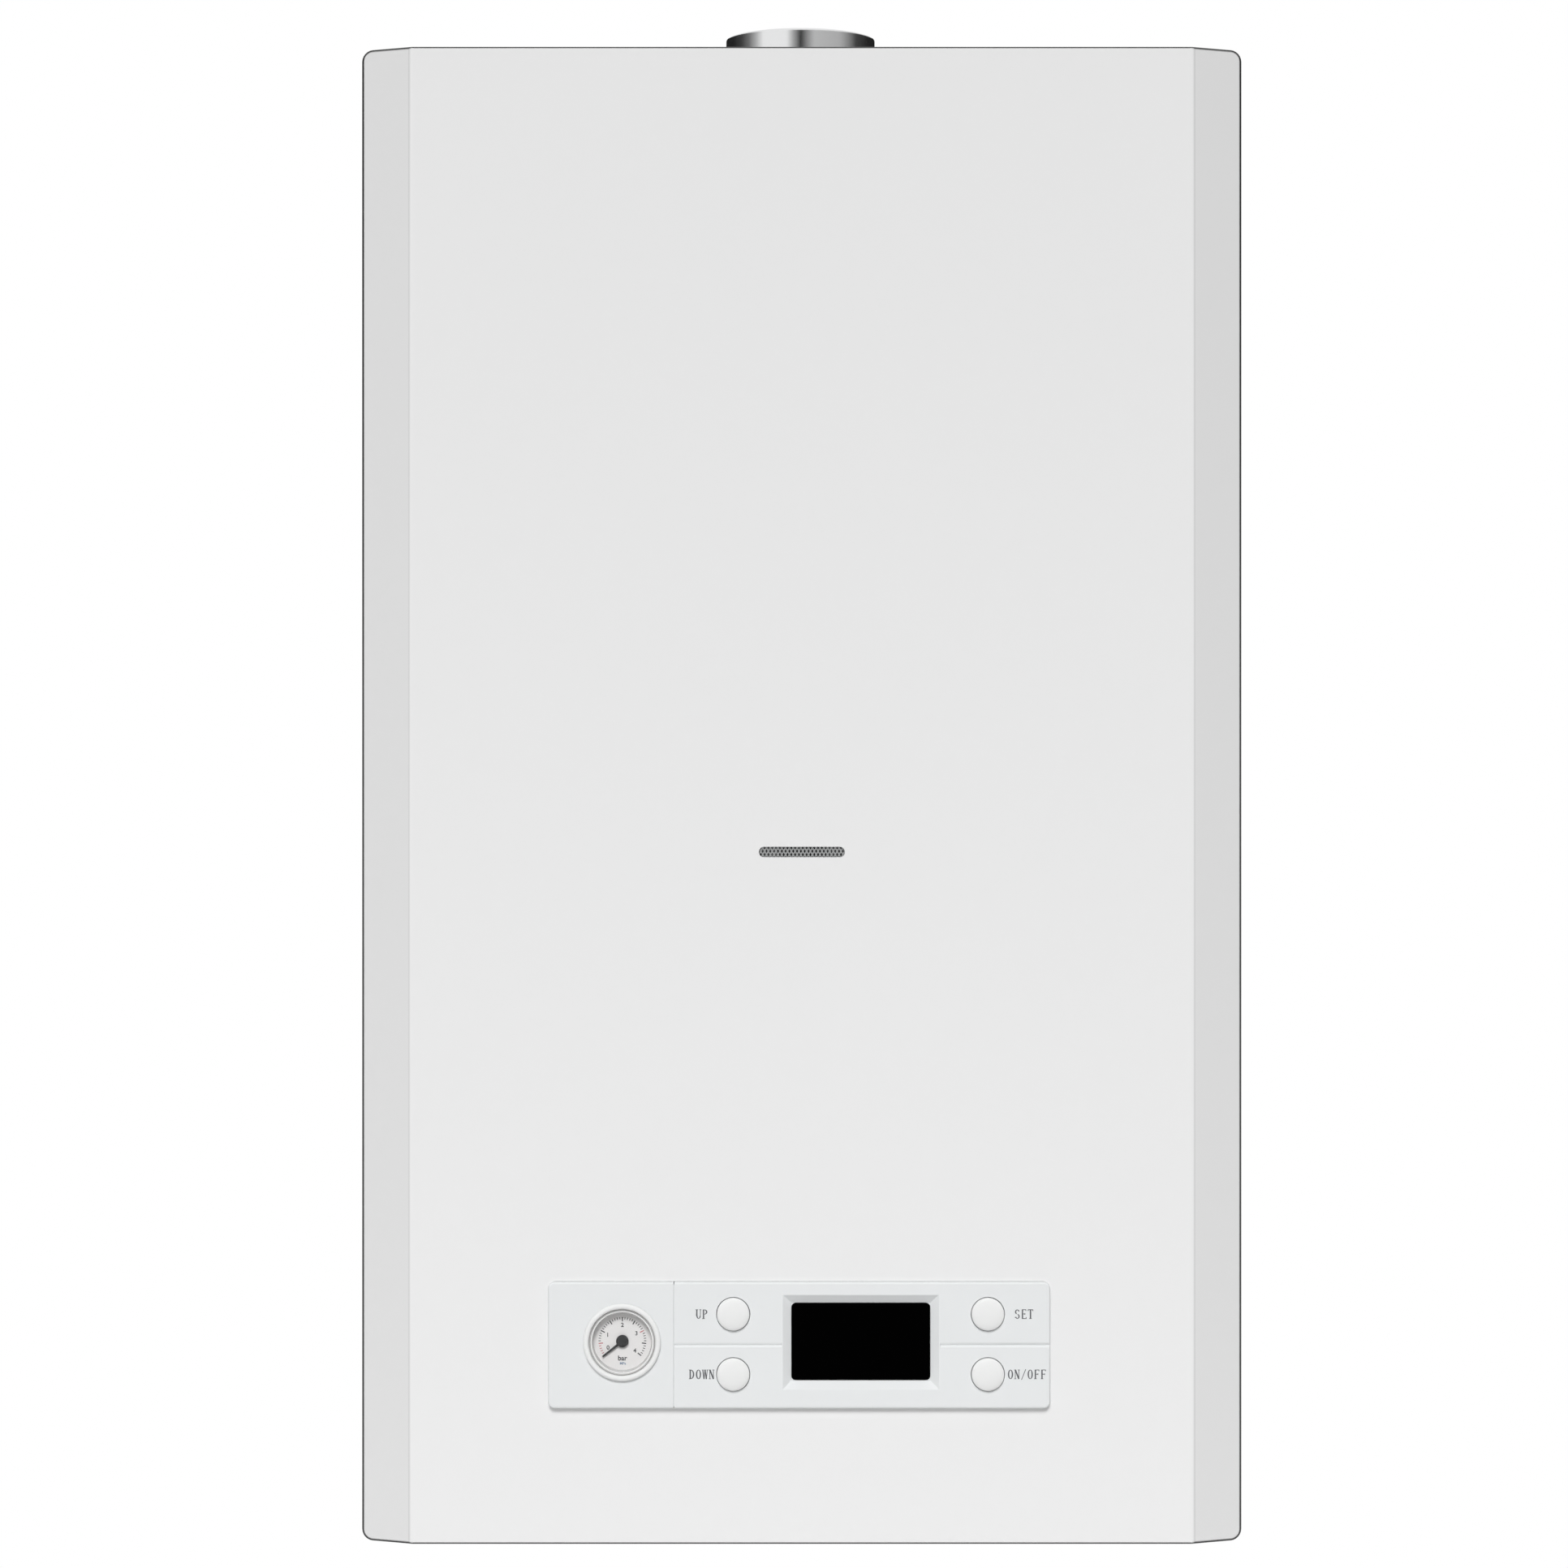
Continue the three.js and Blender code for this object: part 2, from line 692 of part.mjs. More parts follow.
function frontCover() {
  const panelOpening = roundedRect(
    panelWidth + 2 * slidingGap, panelHeight + 2 * slidingGap, panelCorner + slidingGap);
  const slot = roundedRect(slotWidth, slotHeight, slotHeight / 2);
  const screwHoles = bothSides(screwOffset).map(
    (x) => post(screwRadius + runningGap, [-past, sheet + past], smallSides).translate(x, screwY, 0));
  return cut(
    coverBody(0, coverRear), coverBody(sheet, coverRear + past),
    throughFront(panelOpening, panelCentreX, panelCentreZ), throughFront(slot, 0, sightZ), ...screwHoles);
}

// A strip of expanded mesh, its diamond holes staggered from row to row.
function sightGrille() {
  const strip = roundedRect(slotWidth + 2 * meshBorderX, slotHeight + 2 * meshBorderZ, meshBorderZ / 2);
  const perRow = Math.ceil(slotWidth / meshPitch);
  const diamond = [
    [-meshHoleWidth / 2, 0], [0, meshHoleHeight / 2], [meshHoleWidth / 2, 0], [0, -meshHoleHeight / 2],
  ];
  for (let i = 0; i < meshRows; i += 1) {
    const z = row(i, meshRows, meshRowPitch) + meshShift;
    const stagger = (i % 2 ? 1 : -1) * meshPitch / 4;
    for (let j = 0; j < perRow; j += 1) {
      const x = row(j, perRow, meshPitch) + stagger;
      strip.holes.push(new THREE.Path(diamond.map(([dx, dz]) => new THREE.Vector2(x + dx, z + dz))));
    }
  }
  const front = -caseDepth + sheet + seat;
  return facing(strip, [front, front + meshThickness]);
}

function coverScrew() {
  const head = post(screwHeadRadius, [-seat - screwHeadHeight, -seat]);
  return join(head, post(screwRadius, [-seat - overlap, screwLength], smallSides));
}

// A side panel: rear flange, side, and the joggled lip that the cover laps over.
function sidePanel(side) {
  const section = [
    [halfWidth - flangeWidth, flangeBack], [halfWidth, flangeBack], [halfWidth, panelFront],
    [lipOuter, panelFront], [lipOuter, lipFront], [lipInner, lipFront],
    [lipInner, panelFront + sheet], [innerHalf, panelFront + sheet],
    [innerHalf, flangeBack - sheet], [halfWidth - flangeWidth, flangeBack - sheet],
  ];
  const clearance = cornerRadius + sheet + seat;
  const lipZone = [around(0, 2 * caseWidth), [lipFront - past, panelFront]];
  return cut(
    standing(outline(section.map(([x, y]) => [side * x, y])), [0, caseHeight]),
    block(...lipZone, [-past, clearance]), block(...lipZone, [caseHeight - clearance, caseHeight + past]));
}

// The sheet that closes the casing below or above, drawn as the bottom one: a joggled lip
// at the front, a flat between the side panels and a flange up the back.
function levelSheet() {
  const half = halfWidth - flangeWidth - seat;
  const lipBase = sheet + seat;
  const lipTop = lipBase + sheet;
  const stepRear = panelFront + sheet;
  return join(
    block(around(0, 2 * lipOuter), [stepRear + seat, flangeBack - sheet - seat], [0, sheet]),
    block(around(0, 2 * half), [panelFront, flangeBack], [0, sheet]),
    block(around(0, 2 * half), [panelFront, stepRear], [0, lipTop]),
    block(around(0, 2 * half), [lipFront, stepRear], [lipBase, lipTop]),
    block(around(0, 2 * half), [flangeBack - sheet, flangeBack], [0, flangeWidth]));
}

function topPanel() {
  const flueHole = post(collarRadius + slidingGap, [-past, sheet + past], fineSides);
  const drawn = cut(levelSheet(), flueHole.translate(0, -flueSetBack, 0));
  return asGeometry(drawn).rotateY(Math.PI).translate(0, 0, caseHeight);
}

function bottomPlate() {
  const hole = (radius, x, y) => post(radius, [-past, sheet + past]).translate(x, y, 0);
  const notchWidth = 2 * (screwRadius + slidingGap);
  const notches = bothSides(screwOffset).map((x) => block(
    around(x, notchWidth), [lipFront - past, screwY + notchWidth / 2], [0, flangeWidth]));
  return cut(
    levelSheet(), ...notches, hole(glandRadius + slidingGap, glandX, -glandSetBack),
    ...connections.map(({ x, thread }) => hole(thread + plateHoleGap, x, -pipeRowSetBack)));
}

function backFrame() {
  const slots = bothSides(hookOffset).map((x) => block(
    around(x, hookWidth + hookPlay), [frameFront - past, frameFront + sheet + past],
    [bracketZ - hookLip - bracketThickness - hookPlay, bracketZ + seat]));
  const plate = block(
    around(0, 2 * lipOuter), [frameFront, frameFront + sheet], [sheet + seat, caseHeight - sheet - seat]);
  return cut(plate, ...slots);
}

function wallBracket() {
  const strip = block(around(0, bracketWidth), [-bracketThickness, 0], around(bracketZ, bracketHeight));
  const hookFront = -bracketThickness - hookReach;
  const hookBase = bracketZ - bracketThickness;
  const hooks = bothSides(hookOffset).map((x) => join(
    block(around(x, hookWidth), [hookFront, -bracketThickness + overlap], [hookBase, bracketZ]),
    block(around(x, hookWidth), [hookFront, hookFront + bracketThickness], [hookBase, bracketZ + hookLip])));
  const holes = bothSides(bracketWidth / 2 - wallScrewInset).map(
    (x) => toFront(post(wallScrewRadius, [-past, bracketThickness + past])).translate(x, 0, bracketZ));
  return cut(join(strip, ...hooks), ...holes);
}

function cableGland() {
  const nutTop = sheet + seat + glandNut;
  return turned([
    [glandBoreRadius, -glandDrop], [glandRadius, -glandDrop], [glandNutRadius, -glandDrop + glandTaper],
    [glandNutRadius, -seat], [glandRadius, -seat], [glandRadius, sheet + seat],
    [glandNutRadius, sheet + seat], [glandNutRadius, nutTop], [glandRadius, nutTop],
    [glandRadius, nutTop + glandTaper], [glandBoreRadius, nutTop + glandTaper], [glandBoreRadius, -glandDrop],
  ]);
}

// ---------------------------------------------------------------- control panel

// The whole panel's outside about its own middle, its front edge bevelled.
function panelOutside() {
  const face = roundedRect(panelWidth - 2 * panelEdge, panelHeight - 2 * panelEdge, panelCorner - panelEdge);
  const pad = bevelled(face, 2 * panelSkirt, panelEdge, panelEdge, 2);
  const whole = pad.rotateX(-Math.PI / 2).translate(0, panelFace + panelEdge, 0);
  return common(
    whole, block(around(0, 2 * panelWidth), [panelFace - past, panelRear], around(0, 2 * panelHeight)));
}

// The part of the panel between x0 and x1, hollow behind its front wall.
function panelShell([x0, x1]) {
  const slice = block([x0, x1], [panelFace - past, panelRear + past], around(0, 2 * panelHeight));
  const left = Math.max(x0, -panelWidth / 2) + controlBoxWall;
  const right = Math.min(x1, panelWidth / 2) - controlBoxWall;
  const hollow = block(
    [left, right], [panelFace + fasciaWall, panelRear + past], around(0, panelHeight - 2 * controlBoxWall));
  return asGeometry(cut(common(panelOutside(), slice), hollow)).translate(panelCentreX, 0, panelCentreZ);
}

function gaugePanel() {
  const hole = toFront(post(gaugeCaseRadius + runningGap, around(0, 2 * panelSkirt), fineSides));
  return cut(panelShell([-panelWidth, seamOffset - seat / 2]), hole.translate(gaugeX, panelFace, windowZ));
}

const windowBlock = (grow, [y0, y1]) => block(
  around(windowX, windowWidth + 2 * grow), [y0, y1], around(windowZ, windowHeight + 2 * grow));

// The sloping frame round the display, as the shape that is cut away.
function windowFunnel() {
  const [left, right] = around(0, windowWidth);
  const [low, high] = around(0, windowHeight);
  const glass = outline([[left, low], [right, low], [right, high], [left, high]]);
  const funnel = bevelled(glass, 2 * past, bezelDepth, bezelWidth, 1);
  return funnel.rotateX(Math.PI / 2).translate(windowX, panelFace, windowZ);
}

function controlFascia() {
  const half = grooveHeight / 2;
  const groove = across(outline([
    [panelFace - past, panelCentreZ + half], [panelFace - past, panelCentreZ - half],
    [panelFace, panelCentreZ - half], [panelFace + grooveDepth, panelCentreZ],
    [panelFace, panelCentreZ + half],
  ]), [panelCentreX + seamOffset - past, panelCentreX + panelWidth]);
  const frame = windowBlock(bezelWidth + overlap, [panelFace, panelFace + fasciaWall]);
  const opening = windowBlock(0, [panelFace - past, panelFace + fasciaWall + past]);
  const holes = buttons.map(({ x, z }) => toFront(
    post(buttonRadius + buttonGap, around(0, 3 * fasciaWall), fineSides)).translate(x, panelFace, z));
  const shell = panelShell([seamOffset + seat / 2, panelWidth]);
  return cut(join(cut(shell, groove), frame), windowFunnel(), opening, ...holes);
}

function displayWindow() {
  const back = panelFace + fasciaWall + seat;
  return join(
    windowBlock(-seat, [panelFace + bezelDepth, back + overlap]),
    windowBlock(windowRebate, [back, back + windowThickness]));
}

function controlBox() {
  const outside = block(around(panelCentreX, boxWidth), [boxFront, boxBack], [controlBoxSill, boxTop]);
  const inside = block(
    around(panelCentreX, boxWidth - 2 * controlBoxWall), [boxFront - past, boxBack - controlBoxWall],
    [controlBoxSill + controlBoxWall, boxTop - controlBoxWall]);
  const legs = bothSides(boxWidth / 2 - boxLegInset).map((x) => block(
    around(x, boxLegWidth), [boxBack - boxLegDepth, boxBack], [sheet + seat, controlBoxSill + overlap]));
  return cut(join(outside, ...legs), inside);
}

function controlBoard() {
  const rim = controlBoxWall + seat;
  const rear = boardFace + overlap;
  const board = block(
    around(panelCentreX, boxWidth - 2 * rim), [boardFace, boardFace + boardThickness],
    [controlBoxSill + rim, boxTop - rim]);
  const switches = buttons.map(({ x, z }) => block(
    around(x, keySwitchSize), [boardFace - keySwitchHeight, rear], around(z, keySwitchSize)));
  const relays = repeat(relayCount, (i) => block(
    around(panelCentreX + (i - relayCount / 2) * relayPitch, relayWidth), [rear, boardFace + relayWidth],
    around(controlBoxSill + relayHeight, relayHeight)));
  const transformer = block(
    around(panelCentreX + boxWidth / 3, transformerSize), [rear, boardFace + transformerDepth],
    around(controlBoxSill + transformerSize, transformerSize));
  return join(board, ...switches, ...relays, transformer);
}

// A domed cap with a retaining flange behind the fascia and a stem that meets its switch.
function pushButton() {
  const flangeFront = -fasciaWall - seat;
  const flangeRear = flangeFront - buttonFlangeThickness;
  const flangeEdge = buttonRadius + buttonFlange;
  const stemEnd = panelFace - boardFace + keySwitchHeight + buttonTravel + seat;
  const dome = repeat(domeSteps, (i) => {
    const angle = (i / domeSteps) * Math.PI / 2;
    return [buttonRadius * Math.cos(angle), buttonRim + buttonDome * Math.sin(angle)];
  });
  return toFront(turned([
    [0, stemEnd], [stemRadius, stemEnd], [stemRadius, flangeRear], [flangeEdge, flangeRear],
    [flangeEdge, flangeFront], [buttonRadius, flangeFront], ...dome, [0, buttonRim + buttonDome],
  ], fineSides));
}

// ---------------------------------------------------------------- pressure gauge

function gaugeCase() {
  const lip = (gaugeRingRadius - gaugeBoreRadius) / 3;
  return toFront(turned([
    [0, -gaugeDepth], [gaugeCaseRadius, -gaugeDepth], [gaugeCaseRadius, seat], [gaugeRingRadius, seat],
    [gaugeRingRadius, gaugeRingHeight - lip / 2], [gaugeRingRadius - lip / 2, gaugeRingHeight],
    [gaugeBoreRadius + lip, gaugeRingHeight], [gaugeBoreRadius, gaugeRingHeight - lip],
    [gaugeBoreRadius, -gaugeFloor], [arborBore, -gaugeFloor], [arborBore, arborEnd - seat],
    [0, arborEnd - seat],
  ], fineSides));
}

function gaugeDial() {
  const back = -gaugeFloor + seat;
  return toFront(ring(arborBore, gaugeBoreRadius - seat, [back, back + dialThickness], fineSides));
}

// Hub, arbor and a tapered hand that points to zero at rest.
function gaugeNeedle() {
  const hubBack = -gaugeFloor + seat + dialThickness + seat;
  const hub = turned([
    [0, arborEnd], [needleArbor, arborEnd], [needleArbor, hubBack], [needleHub, hubBack],
    [needleHub, hubBack + needleHubHeight], [0, hubBack + needleHubHeight],
  ], smallSides);
  const tip = needleWidth / 5;
  const hand = extruded(outline([
    [0, -needleWidth / 2], [needleLength, -tip], [needleLength, tip], [0, needleWidth / 2],
  ]), needleThickness).rotateZ(THREE.MathUtils.degToRad(gaugeZeroAngle));
  return join(toFront(hub), toFront(hand.translate(0, 0, hubBack + needleThickness)));
}

const gaugeLens = () => toFront(post(gaugeBoreRadius - seat, [-lensThickness - seat, -seat], fineSides));

// ---------------------------------------------------------------- flue and sealed chamber

// The air duct on its square flange.
function flueCollar() {
  const flangeFoot = caseHeight + seat;
  const flange = standing(
    roundedRect(collarFlange, collarFlange, flangeCorner), [flangeFoot, flangeFoot + collarFlangeThickness]);
  const bored = cut(flange, post(ductInnerRadius, [caseHeight - past, collarRim], fineSides));
  return join(bored, ring(ductInnerRadius, collarRadius, [collarFoot, collarRim], fineSides));
}

// The inner duct, held in the middle by four spacers.
function exhaustDuct() {
  const duct = ring(
    exhaustRadius - exhaustWall, exhaustRadius, [exhaustFoot, collarRim - exhaustRecess], fineSides);
  const spacers = repeat(4, (i) => block(
    [exhaustRadius - overlap, ductInnerRadius - slidingGap], around(0, spacerThickness),
    [exhaustFoot, exhaustFoot + spacerHeight]).rotateZ((i + 0.5) * Math.PI / 2));
  return join(duct, ...spacers);
}

function chamberShell() {
  const inset = chamberHalf - sheet;
  const outside = block(around(0, 2 * chamberHalf), [chamberFront, chamberBack], [chamberBottom, chamberTop]);
  const inside = block(
    around(0, 2 * inset), [chamberFront + sheet, chamberBack - sheet], [chamberFloor, chamberTop - sheet]);
  const opening = block(
    around(0, 2 * (inset - chamberFlange)), [chamberFront - past, chamberFront + sheet + past],
    [chamberFloor + chamberFlange, chamberTop - sheet - chamberFlange]);
  const hole = (radius, x, y, z) => post(
    radius + slidingGap, around(z, 4 * sheet), fineSides).translate(x, y, 0);
  return cut(
    outside, inside, opening, hole(collarRadius, 0, -flueSetBack, chamberTop),
    hole(gasPipeRadius, 0, manifoldY, chamberBottom), hole(riserRadius, riserX, tubeY(0), chamberBottom),
    hole(riserRadius, -riserX, tubeY(waterTubes - 1), chamberBottom));
}

// A dished plate with the sight hole, drawn about the chamber's middle height.
function chamberDoor() {
  const field = (inset, [y0, y1]) => facing(
    roundedRect(doorWidth - 2 * inset, doorHeight - 2 * inset, doorCorner), [y0, y1]);
  const dishInset = 1.5 * sealWidth;
  const plate = field(0, [doorBack - sheet, doorBack]);
  const dish = field(dishInset, [doorBack - sheet - doorDish, doorBack]);
  const hollow = field(dishInset + sheet, [doorBack - doorDish, doorBack + past]);
  const hole = toFront(post(sightHoleRadius, [-past, 2 * doorDish + sheet]));
  return cut(join(plate, dish), hollow, hole.translate(0, doorBack, sightZ - chamberMiddle));
}

function chamberDoorSeal() {
  const back = chamberFront - seat;
  const outside = facing(roundedRect(doorWidth, doorHeight, doorCorner), [back - sealThickness, back]);
  const inside = facing(
    roundedRect(doorWidth - 2 * sealWidth, doorHeight - 2 * sealWidth, doorCorner / 2),
    [back - sealThickness - past, back + past]);
  return cut(outside, inside);
}

const sightGlass = () => toFront(post(sightGlassRadius, [0, sightGlassThickness], fineSides));

// ---------------------------------------------------------------- fan

// The scroll's outline: a spiral that opens into an upright mouth, drawn in by its wall.
function scrollOutline(inset, top) {
  const startAngle = Math.acos((scrollEnd - scrollMouth) / scrollStart);
  const tongueX = scrollEnd - scrollMouth + inset;
  const tongueZ = (scrollStart - inset) * Math.sin(startAngle);
  const spiral = repeat(scrollSteps, (i) => {
    const share = (i + 1) / scrollSteps;
    const angle = startAngle + share * (2 * Math.PI - startAngle);
    const radius = scrollStart + share * (scrollEnd - scrollStart) - inset;
    return [radius * Math.cos(angle), radius * Math.sin(angle)];
  });
  return outline([[tongueX, tongueZ], ...spiral, [scrollEnd - inset, top], [tongueX, top]]);
}

function fanHousing() {
  const half = fanDepth / 2;
  const neckTop = exhaustFoot - seat - fanZ;
  const neckBore = exhaustRadius - exhaustWall - neckAllowance;
  const outside = facing(scrollOutline(0, scrollNeck), [-half, half]);
  const inside = facing(scrollOutline(fanWall, scrollNeck - fanWall), [-half + fanWall, half - fanWall]);
  const eye = toFront(post(fanEyeRadius, [-half - past, -half + fanWall + past], fineSides));
  const shaftHole = toFront(post(fanShaftRadius + slidingGap, [half - fanWall - past, half + past]));
  const neck = post(exhaustRadius, [scrollNeck - overlap, neckTop], fineSides);
  const bore = post(neckBore, [scrollNeck - 2 * fanWall, neckTop + past], fineSides);
  return cut(
    join(outside, neck.translate(-fanX, 0, 0)), inside, eye, shaftHole, bore.translate(-fanX, 0, 0));
}

function fanMotor() {
  const back = fanDepth / 2 + seat;
  const front = back + fanMotorLength;
  const bore = fanShaftRadius + runningGap;
  const boreEnd = back + fanShaftEngagement + seat;
  return toFront(turned([
    [bore, back], [fanMotorFlangeRadius, back], [fanMotorFlangeRadius, back + fanMotorFlange],
    [fanMotorRadius, back + fanMotorFlange], [fanMotorRadius, front - fanMotorFlange],
    [fanMotorRadius - fanMotorFlange, front], [0, front], [0, boreEnd], [bore, boreEnd], [bore, back],
  ]));
}

// A drum of upright blades between a disc and an end ring, on its shaft.
function fanImpeller() {
  const rear = -fanDepth / 2 + impellerRearGap;
  const front = fanDepth / 2 - impellerFrontGap;
  const bladeInner = impellerRadius - bladeChord;
  const bladeSpan = [rear + overlap, front - overlap];
  const blade = (i) => block(
    [bladeInner, impellerRadius - bladeThickness], around(0, bladeThickness), bladeSpan,
  ).rotateZ((i / impellerBlades) * Math.PI * 2);
  return join(...[
    post(impellerRadius, [front - impellerPlate, front], fineSides),
    ring(bladeInner, impellerRadius, [rear, rear + impellerPlate], fineSides),
    post(impellerHubRadius, [front - impellerHubLength, front + impellerPlate]),
    post(fanShaftRadius, [front, fanDepth / 2 + seat + fanShaftEngagement], smallSides),
    ...repeat(impellerBlades, blade),
  ].map(toFront));
}

// ---------------------------------------------------------------- burner, exchanger and hood

// A funnel over the exchanger that leads up a flat duct to the fan's eye.
function hoodSection(inset, base) {
  const front = exchangerFront - hoodOverhang + inset;
  const back = hoodBack - inset;
  const top = fanZ + fanEyeRadius + ductAboveEye - inset;
  return outline([
    [front, base], [back, base], [back, top], [ductFront + inset, top],
    [ductFront + inset, hoodBase + hoodRise + hoodSlope - inset], [front, hoodBase + hoodRise - inset],
  ]);
}

function flueHood() {
  const eye = toFront(post(fanEyeRadius, around(0, 4 * hoodWall), fineSides));
  return cut(
    across(hoodSection(0, hoodBase), [-finHalf, finHalf]),
    across(hoodSection(hoodWall, hoodBase - past), [-finHalf + hoodWall, finHalf - hoodWall]),
    eye.translate(fanX, ductFront, fanZ));
}

// Copper fins on water tubes, with headers that turn the water back at each end.
function heatExchanger() {
  const tubeEnd = finHalf + headerReach - 2 * overlap;
  const finPitch = (2 * finHalf - finThickness) / (finCount - 1);
  const fin = (i) => block(
    around(row(i, finCount, finPitch), finThickness), [exchangerFront, exchangerBack],
    [exchangerBase, exchangerTop]);
  const tube = (i) => {
    const left = i === waterTubes - 1 ? portHalf : tubeEnd;
    const right = i === 0 ? portHalf : tubeEnd;
    return toRight(post(waterTubeRadius, [-left, right], smallSides)).translate(0, tubeY(i), exchangerMiddle);
  };
  const headerMiddle = finHalf + headerReach / 2;
  const header = (i) => block(
    around(i % 2 ? headerMiddle : -headerMiddle, headerReach - 4 * overlap),
    [tubeY(i + 1) - waterTubeRadius, tubeY(i) + waterTubeRadius],
    around(exchangerMiddle, 2 * waterTubeRadius));
  return join(...repeat(finCount, fin), ...repeat(waterTubes, tube), ...repeat(waterTubes - 1, header));
}

function combustionBox() {
  const outside = block(
    around(0, 2 * (finHalf + boxWall)), [combustionFront, exchangerBack + boxWall],
    [combustionBase, combustionTop]);
  const inside = block(
    around(0, 2 * finHalf), [exchangerFront, exchangerBack], [combustionBase - past, combustionTop + past]);
  const opening = (radius, x) => toFront(post(radius, around(0, 4 * boxWall)))
    .translate(x, combustionFront + boxWall, sightZ);
  return cut(
    outside, inside, opening(sightHoleRadius - boxWall, 0),
    opening(ceramicRadius + slidingGap, -electrodeOffset));
}

// A row of flat blades on one bar, carried by two side rails.
function burner() {
  const barHalf = finHalf - sideRailWidth / 2;
  const barTop = burnerBase + burnerBar;
  const shoulder = burnerTop - bladeSlope;
  const half = bladeWidth / 2;
  const blades = repeat(bladeCount, (i) => {
    const x = -row(i, bladeCount, bladePitch);
    return [
      [x + half, barTop], [x + half, shoulder], [x + half - bladeChamfer, burnerTop],
      [x - half + bladeChamfer, burnerTop], [x - half, shoulder], [x - half, barTop],
    ];
  }).flat();
  const section = outline([
    [-barHalf, burnerBase], [barHalf, burnerBase], [barHalf, barTop], ...blades, [-barHalf, barTop],
  ]);
  const rails = bothSides(barHalf).map((x) => block(
    around(x, sideRailWidth), [burnerFront, burnerBack], [chamberFloor + seat, burnerTop]));
  return join(facing(section, [burnerFront, burnerBack]), ...rails);
}

// The tube in front of the blades with one nozzle for each, and the pipe up from the gas valve.
function gasManifold() {
  const z = burnerBase + manifoldRise;
  const half = finHalf - bladeWidth / 2;
  const tube = toRight(post(manifoldRadius, [-half, half])).translate(0, manifoldY, z);
  const length = manifoldSetOff - nozzleGap;
  const nozzle = (i) => new THREE.CylinderGeometry(
    nozzleRadius, nozzleRadius + nozzleTaper, length, smallSides / 2,
  ).translate(row(i, bladeCount, bladePitch), manifoldY + length / 2, z);
  const supply = pipe(
    [[0, gasValveFront - seat, gasPortZ], [0, manifoldY, gasPortZ], [0, manifoldY, z]], gasPipeRadius);
  return join(tube, supply, ...repeat(bladeCount, nozzle));
}

// A ceramic sleeve with its flange on the combustion box and a wire over the burner.
function flameElectrode() {
  const flangeFront = seat + electrodeFlange;
  const inner = -boxWall - ceramicInside;
  return toFront(turned([
    [0, inner - electrodeReach], [electrodeWire, inner - electrodeReach], [electrodeWire, inner],
    [ceramicRadius, inner], [ceramicRadius, seat], [2 * ceramicRadius, seat],
    [2 * ceramicRadius, flangeFront], [ceramicRadius, flangeFront], [ceramicRadius, ceramicLength],
    [0, ceramicLength],
  ]));
}

function airPressureSwitch() {
  const seam = switchDepth / 3;
  const nipple = (y) => post(nippleRadius, [switchDepth - overlap, switchDepth + nippleLength], smallSides)
    .translate(0, y, 0);
  const body = turned([
    [0, 0], [switchRadius - switchStep, 0], [switchRadius - switchStep, seam], [switchRadius, seam],
    [switchRadius, seam + switchRim], [switchRadius - switchStep, seam + switchRim],
    [switchRadius - 2 * switchStep, switchDepth], [0, switchDepth],
  ], fineSides);
  return join(...[body, ...bothSides(nippleOffset).map(nipple)].map(toLeft));
}

// ---------------------------------------------------------------- expansion vessel

// A flat welded vessel, hollow, with its seam, its rear stud and its port at the bottom.
function expansionVessel() {
  const core = roundedRect(
    vesselWidth - 2 * vesselEdge, vesselHeight - 2 * vesselEdge, vesselCorner - vesselEdge);
  const body = (edge) => bevelled(core, vesselDepth - 2 * vesselEdge, edge, edge, 2)
    .rotateX(Math.PI / 2).translate(0, vesselBack - vesselEdge, 0);
  const seam = facing(
    roundedRect(vesselWidth + 2 * vesselSeam, vesselHeight + 2 * vesselSeam, vesselCorner + vesselSeam),
    around(vesselMiddleY, vesselSeamThickness));
  const stud = toFront(post(vesselStudRadius, [-vesselSetBack, overlap])).translate(0, vesselBack, 0);
  const port = (radius, reach) => post(radius, around(0, 2 * reach))
    .translate(vesselPortX, vesselMiddleY, -vesselHeight / 2);
  return cut(
    join(body(vesselEdge), seam, stud, port(vesselPortRadius, vesselPortLength)),
    body(vesselEdge - vesselWall), port(vesselPortBore, vesselPortLength + past));
}

function expansionHose() {
  const top = new THREE.Vector3(
    vesselPortX, vesselMiddleY, vesselMiddleZ - vesselHeight / 2 - vesselPortLength - seat);
  const bottom = new THREE.Vector3(vesselPortX, hosePortY, blockTop + hosePortHeight + seat);
  const straightDown = top.clone().setZ(top.z - hoseDrop);
  const straightUp = bottom.clone().setZ(bottom.z + hoseRise);
  return swept(new THREE.CatmullRomCurve3([top, straightDown, straightUp, bottom]), hoseRadius);
}

// ---------------------------------------------------------------- water side

// A threaded connection: thread below, hexagon collar, and a neck up to the water block.
function connectionUnion({ thread, bore }) {
  const hexBottom = -connectionDrop + threadLength;
  const hexTop = hexBottom + hexLength;
  const body = join(
    post(thread, [-connectionDrop, hexBottom + overlap]), post(thread + hexAllowance, [hexBottom, hexTop], 6),
    post(thread - neckReduction, [hexTop - overlap, unionTop]));
  return cut(body, post(bore, [-connectionDrop - past, unionTop + past]));
}

// One water block on two feet.
function waterBlock([x0, x1]) {
  const feet = [x0, x1 - footWidth].map((x) => block(
    [x, x + footWidth], [blockFront, blockFront + footWidth], [sheet + seat, blockSill + overlap]));
  return join(block([x0, x1], [blockFront, blockBack], [blockSill, blockTop]), ...feet);
}

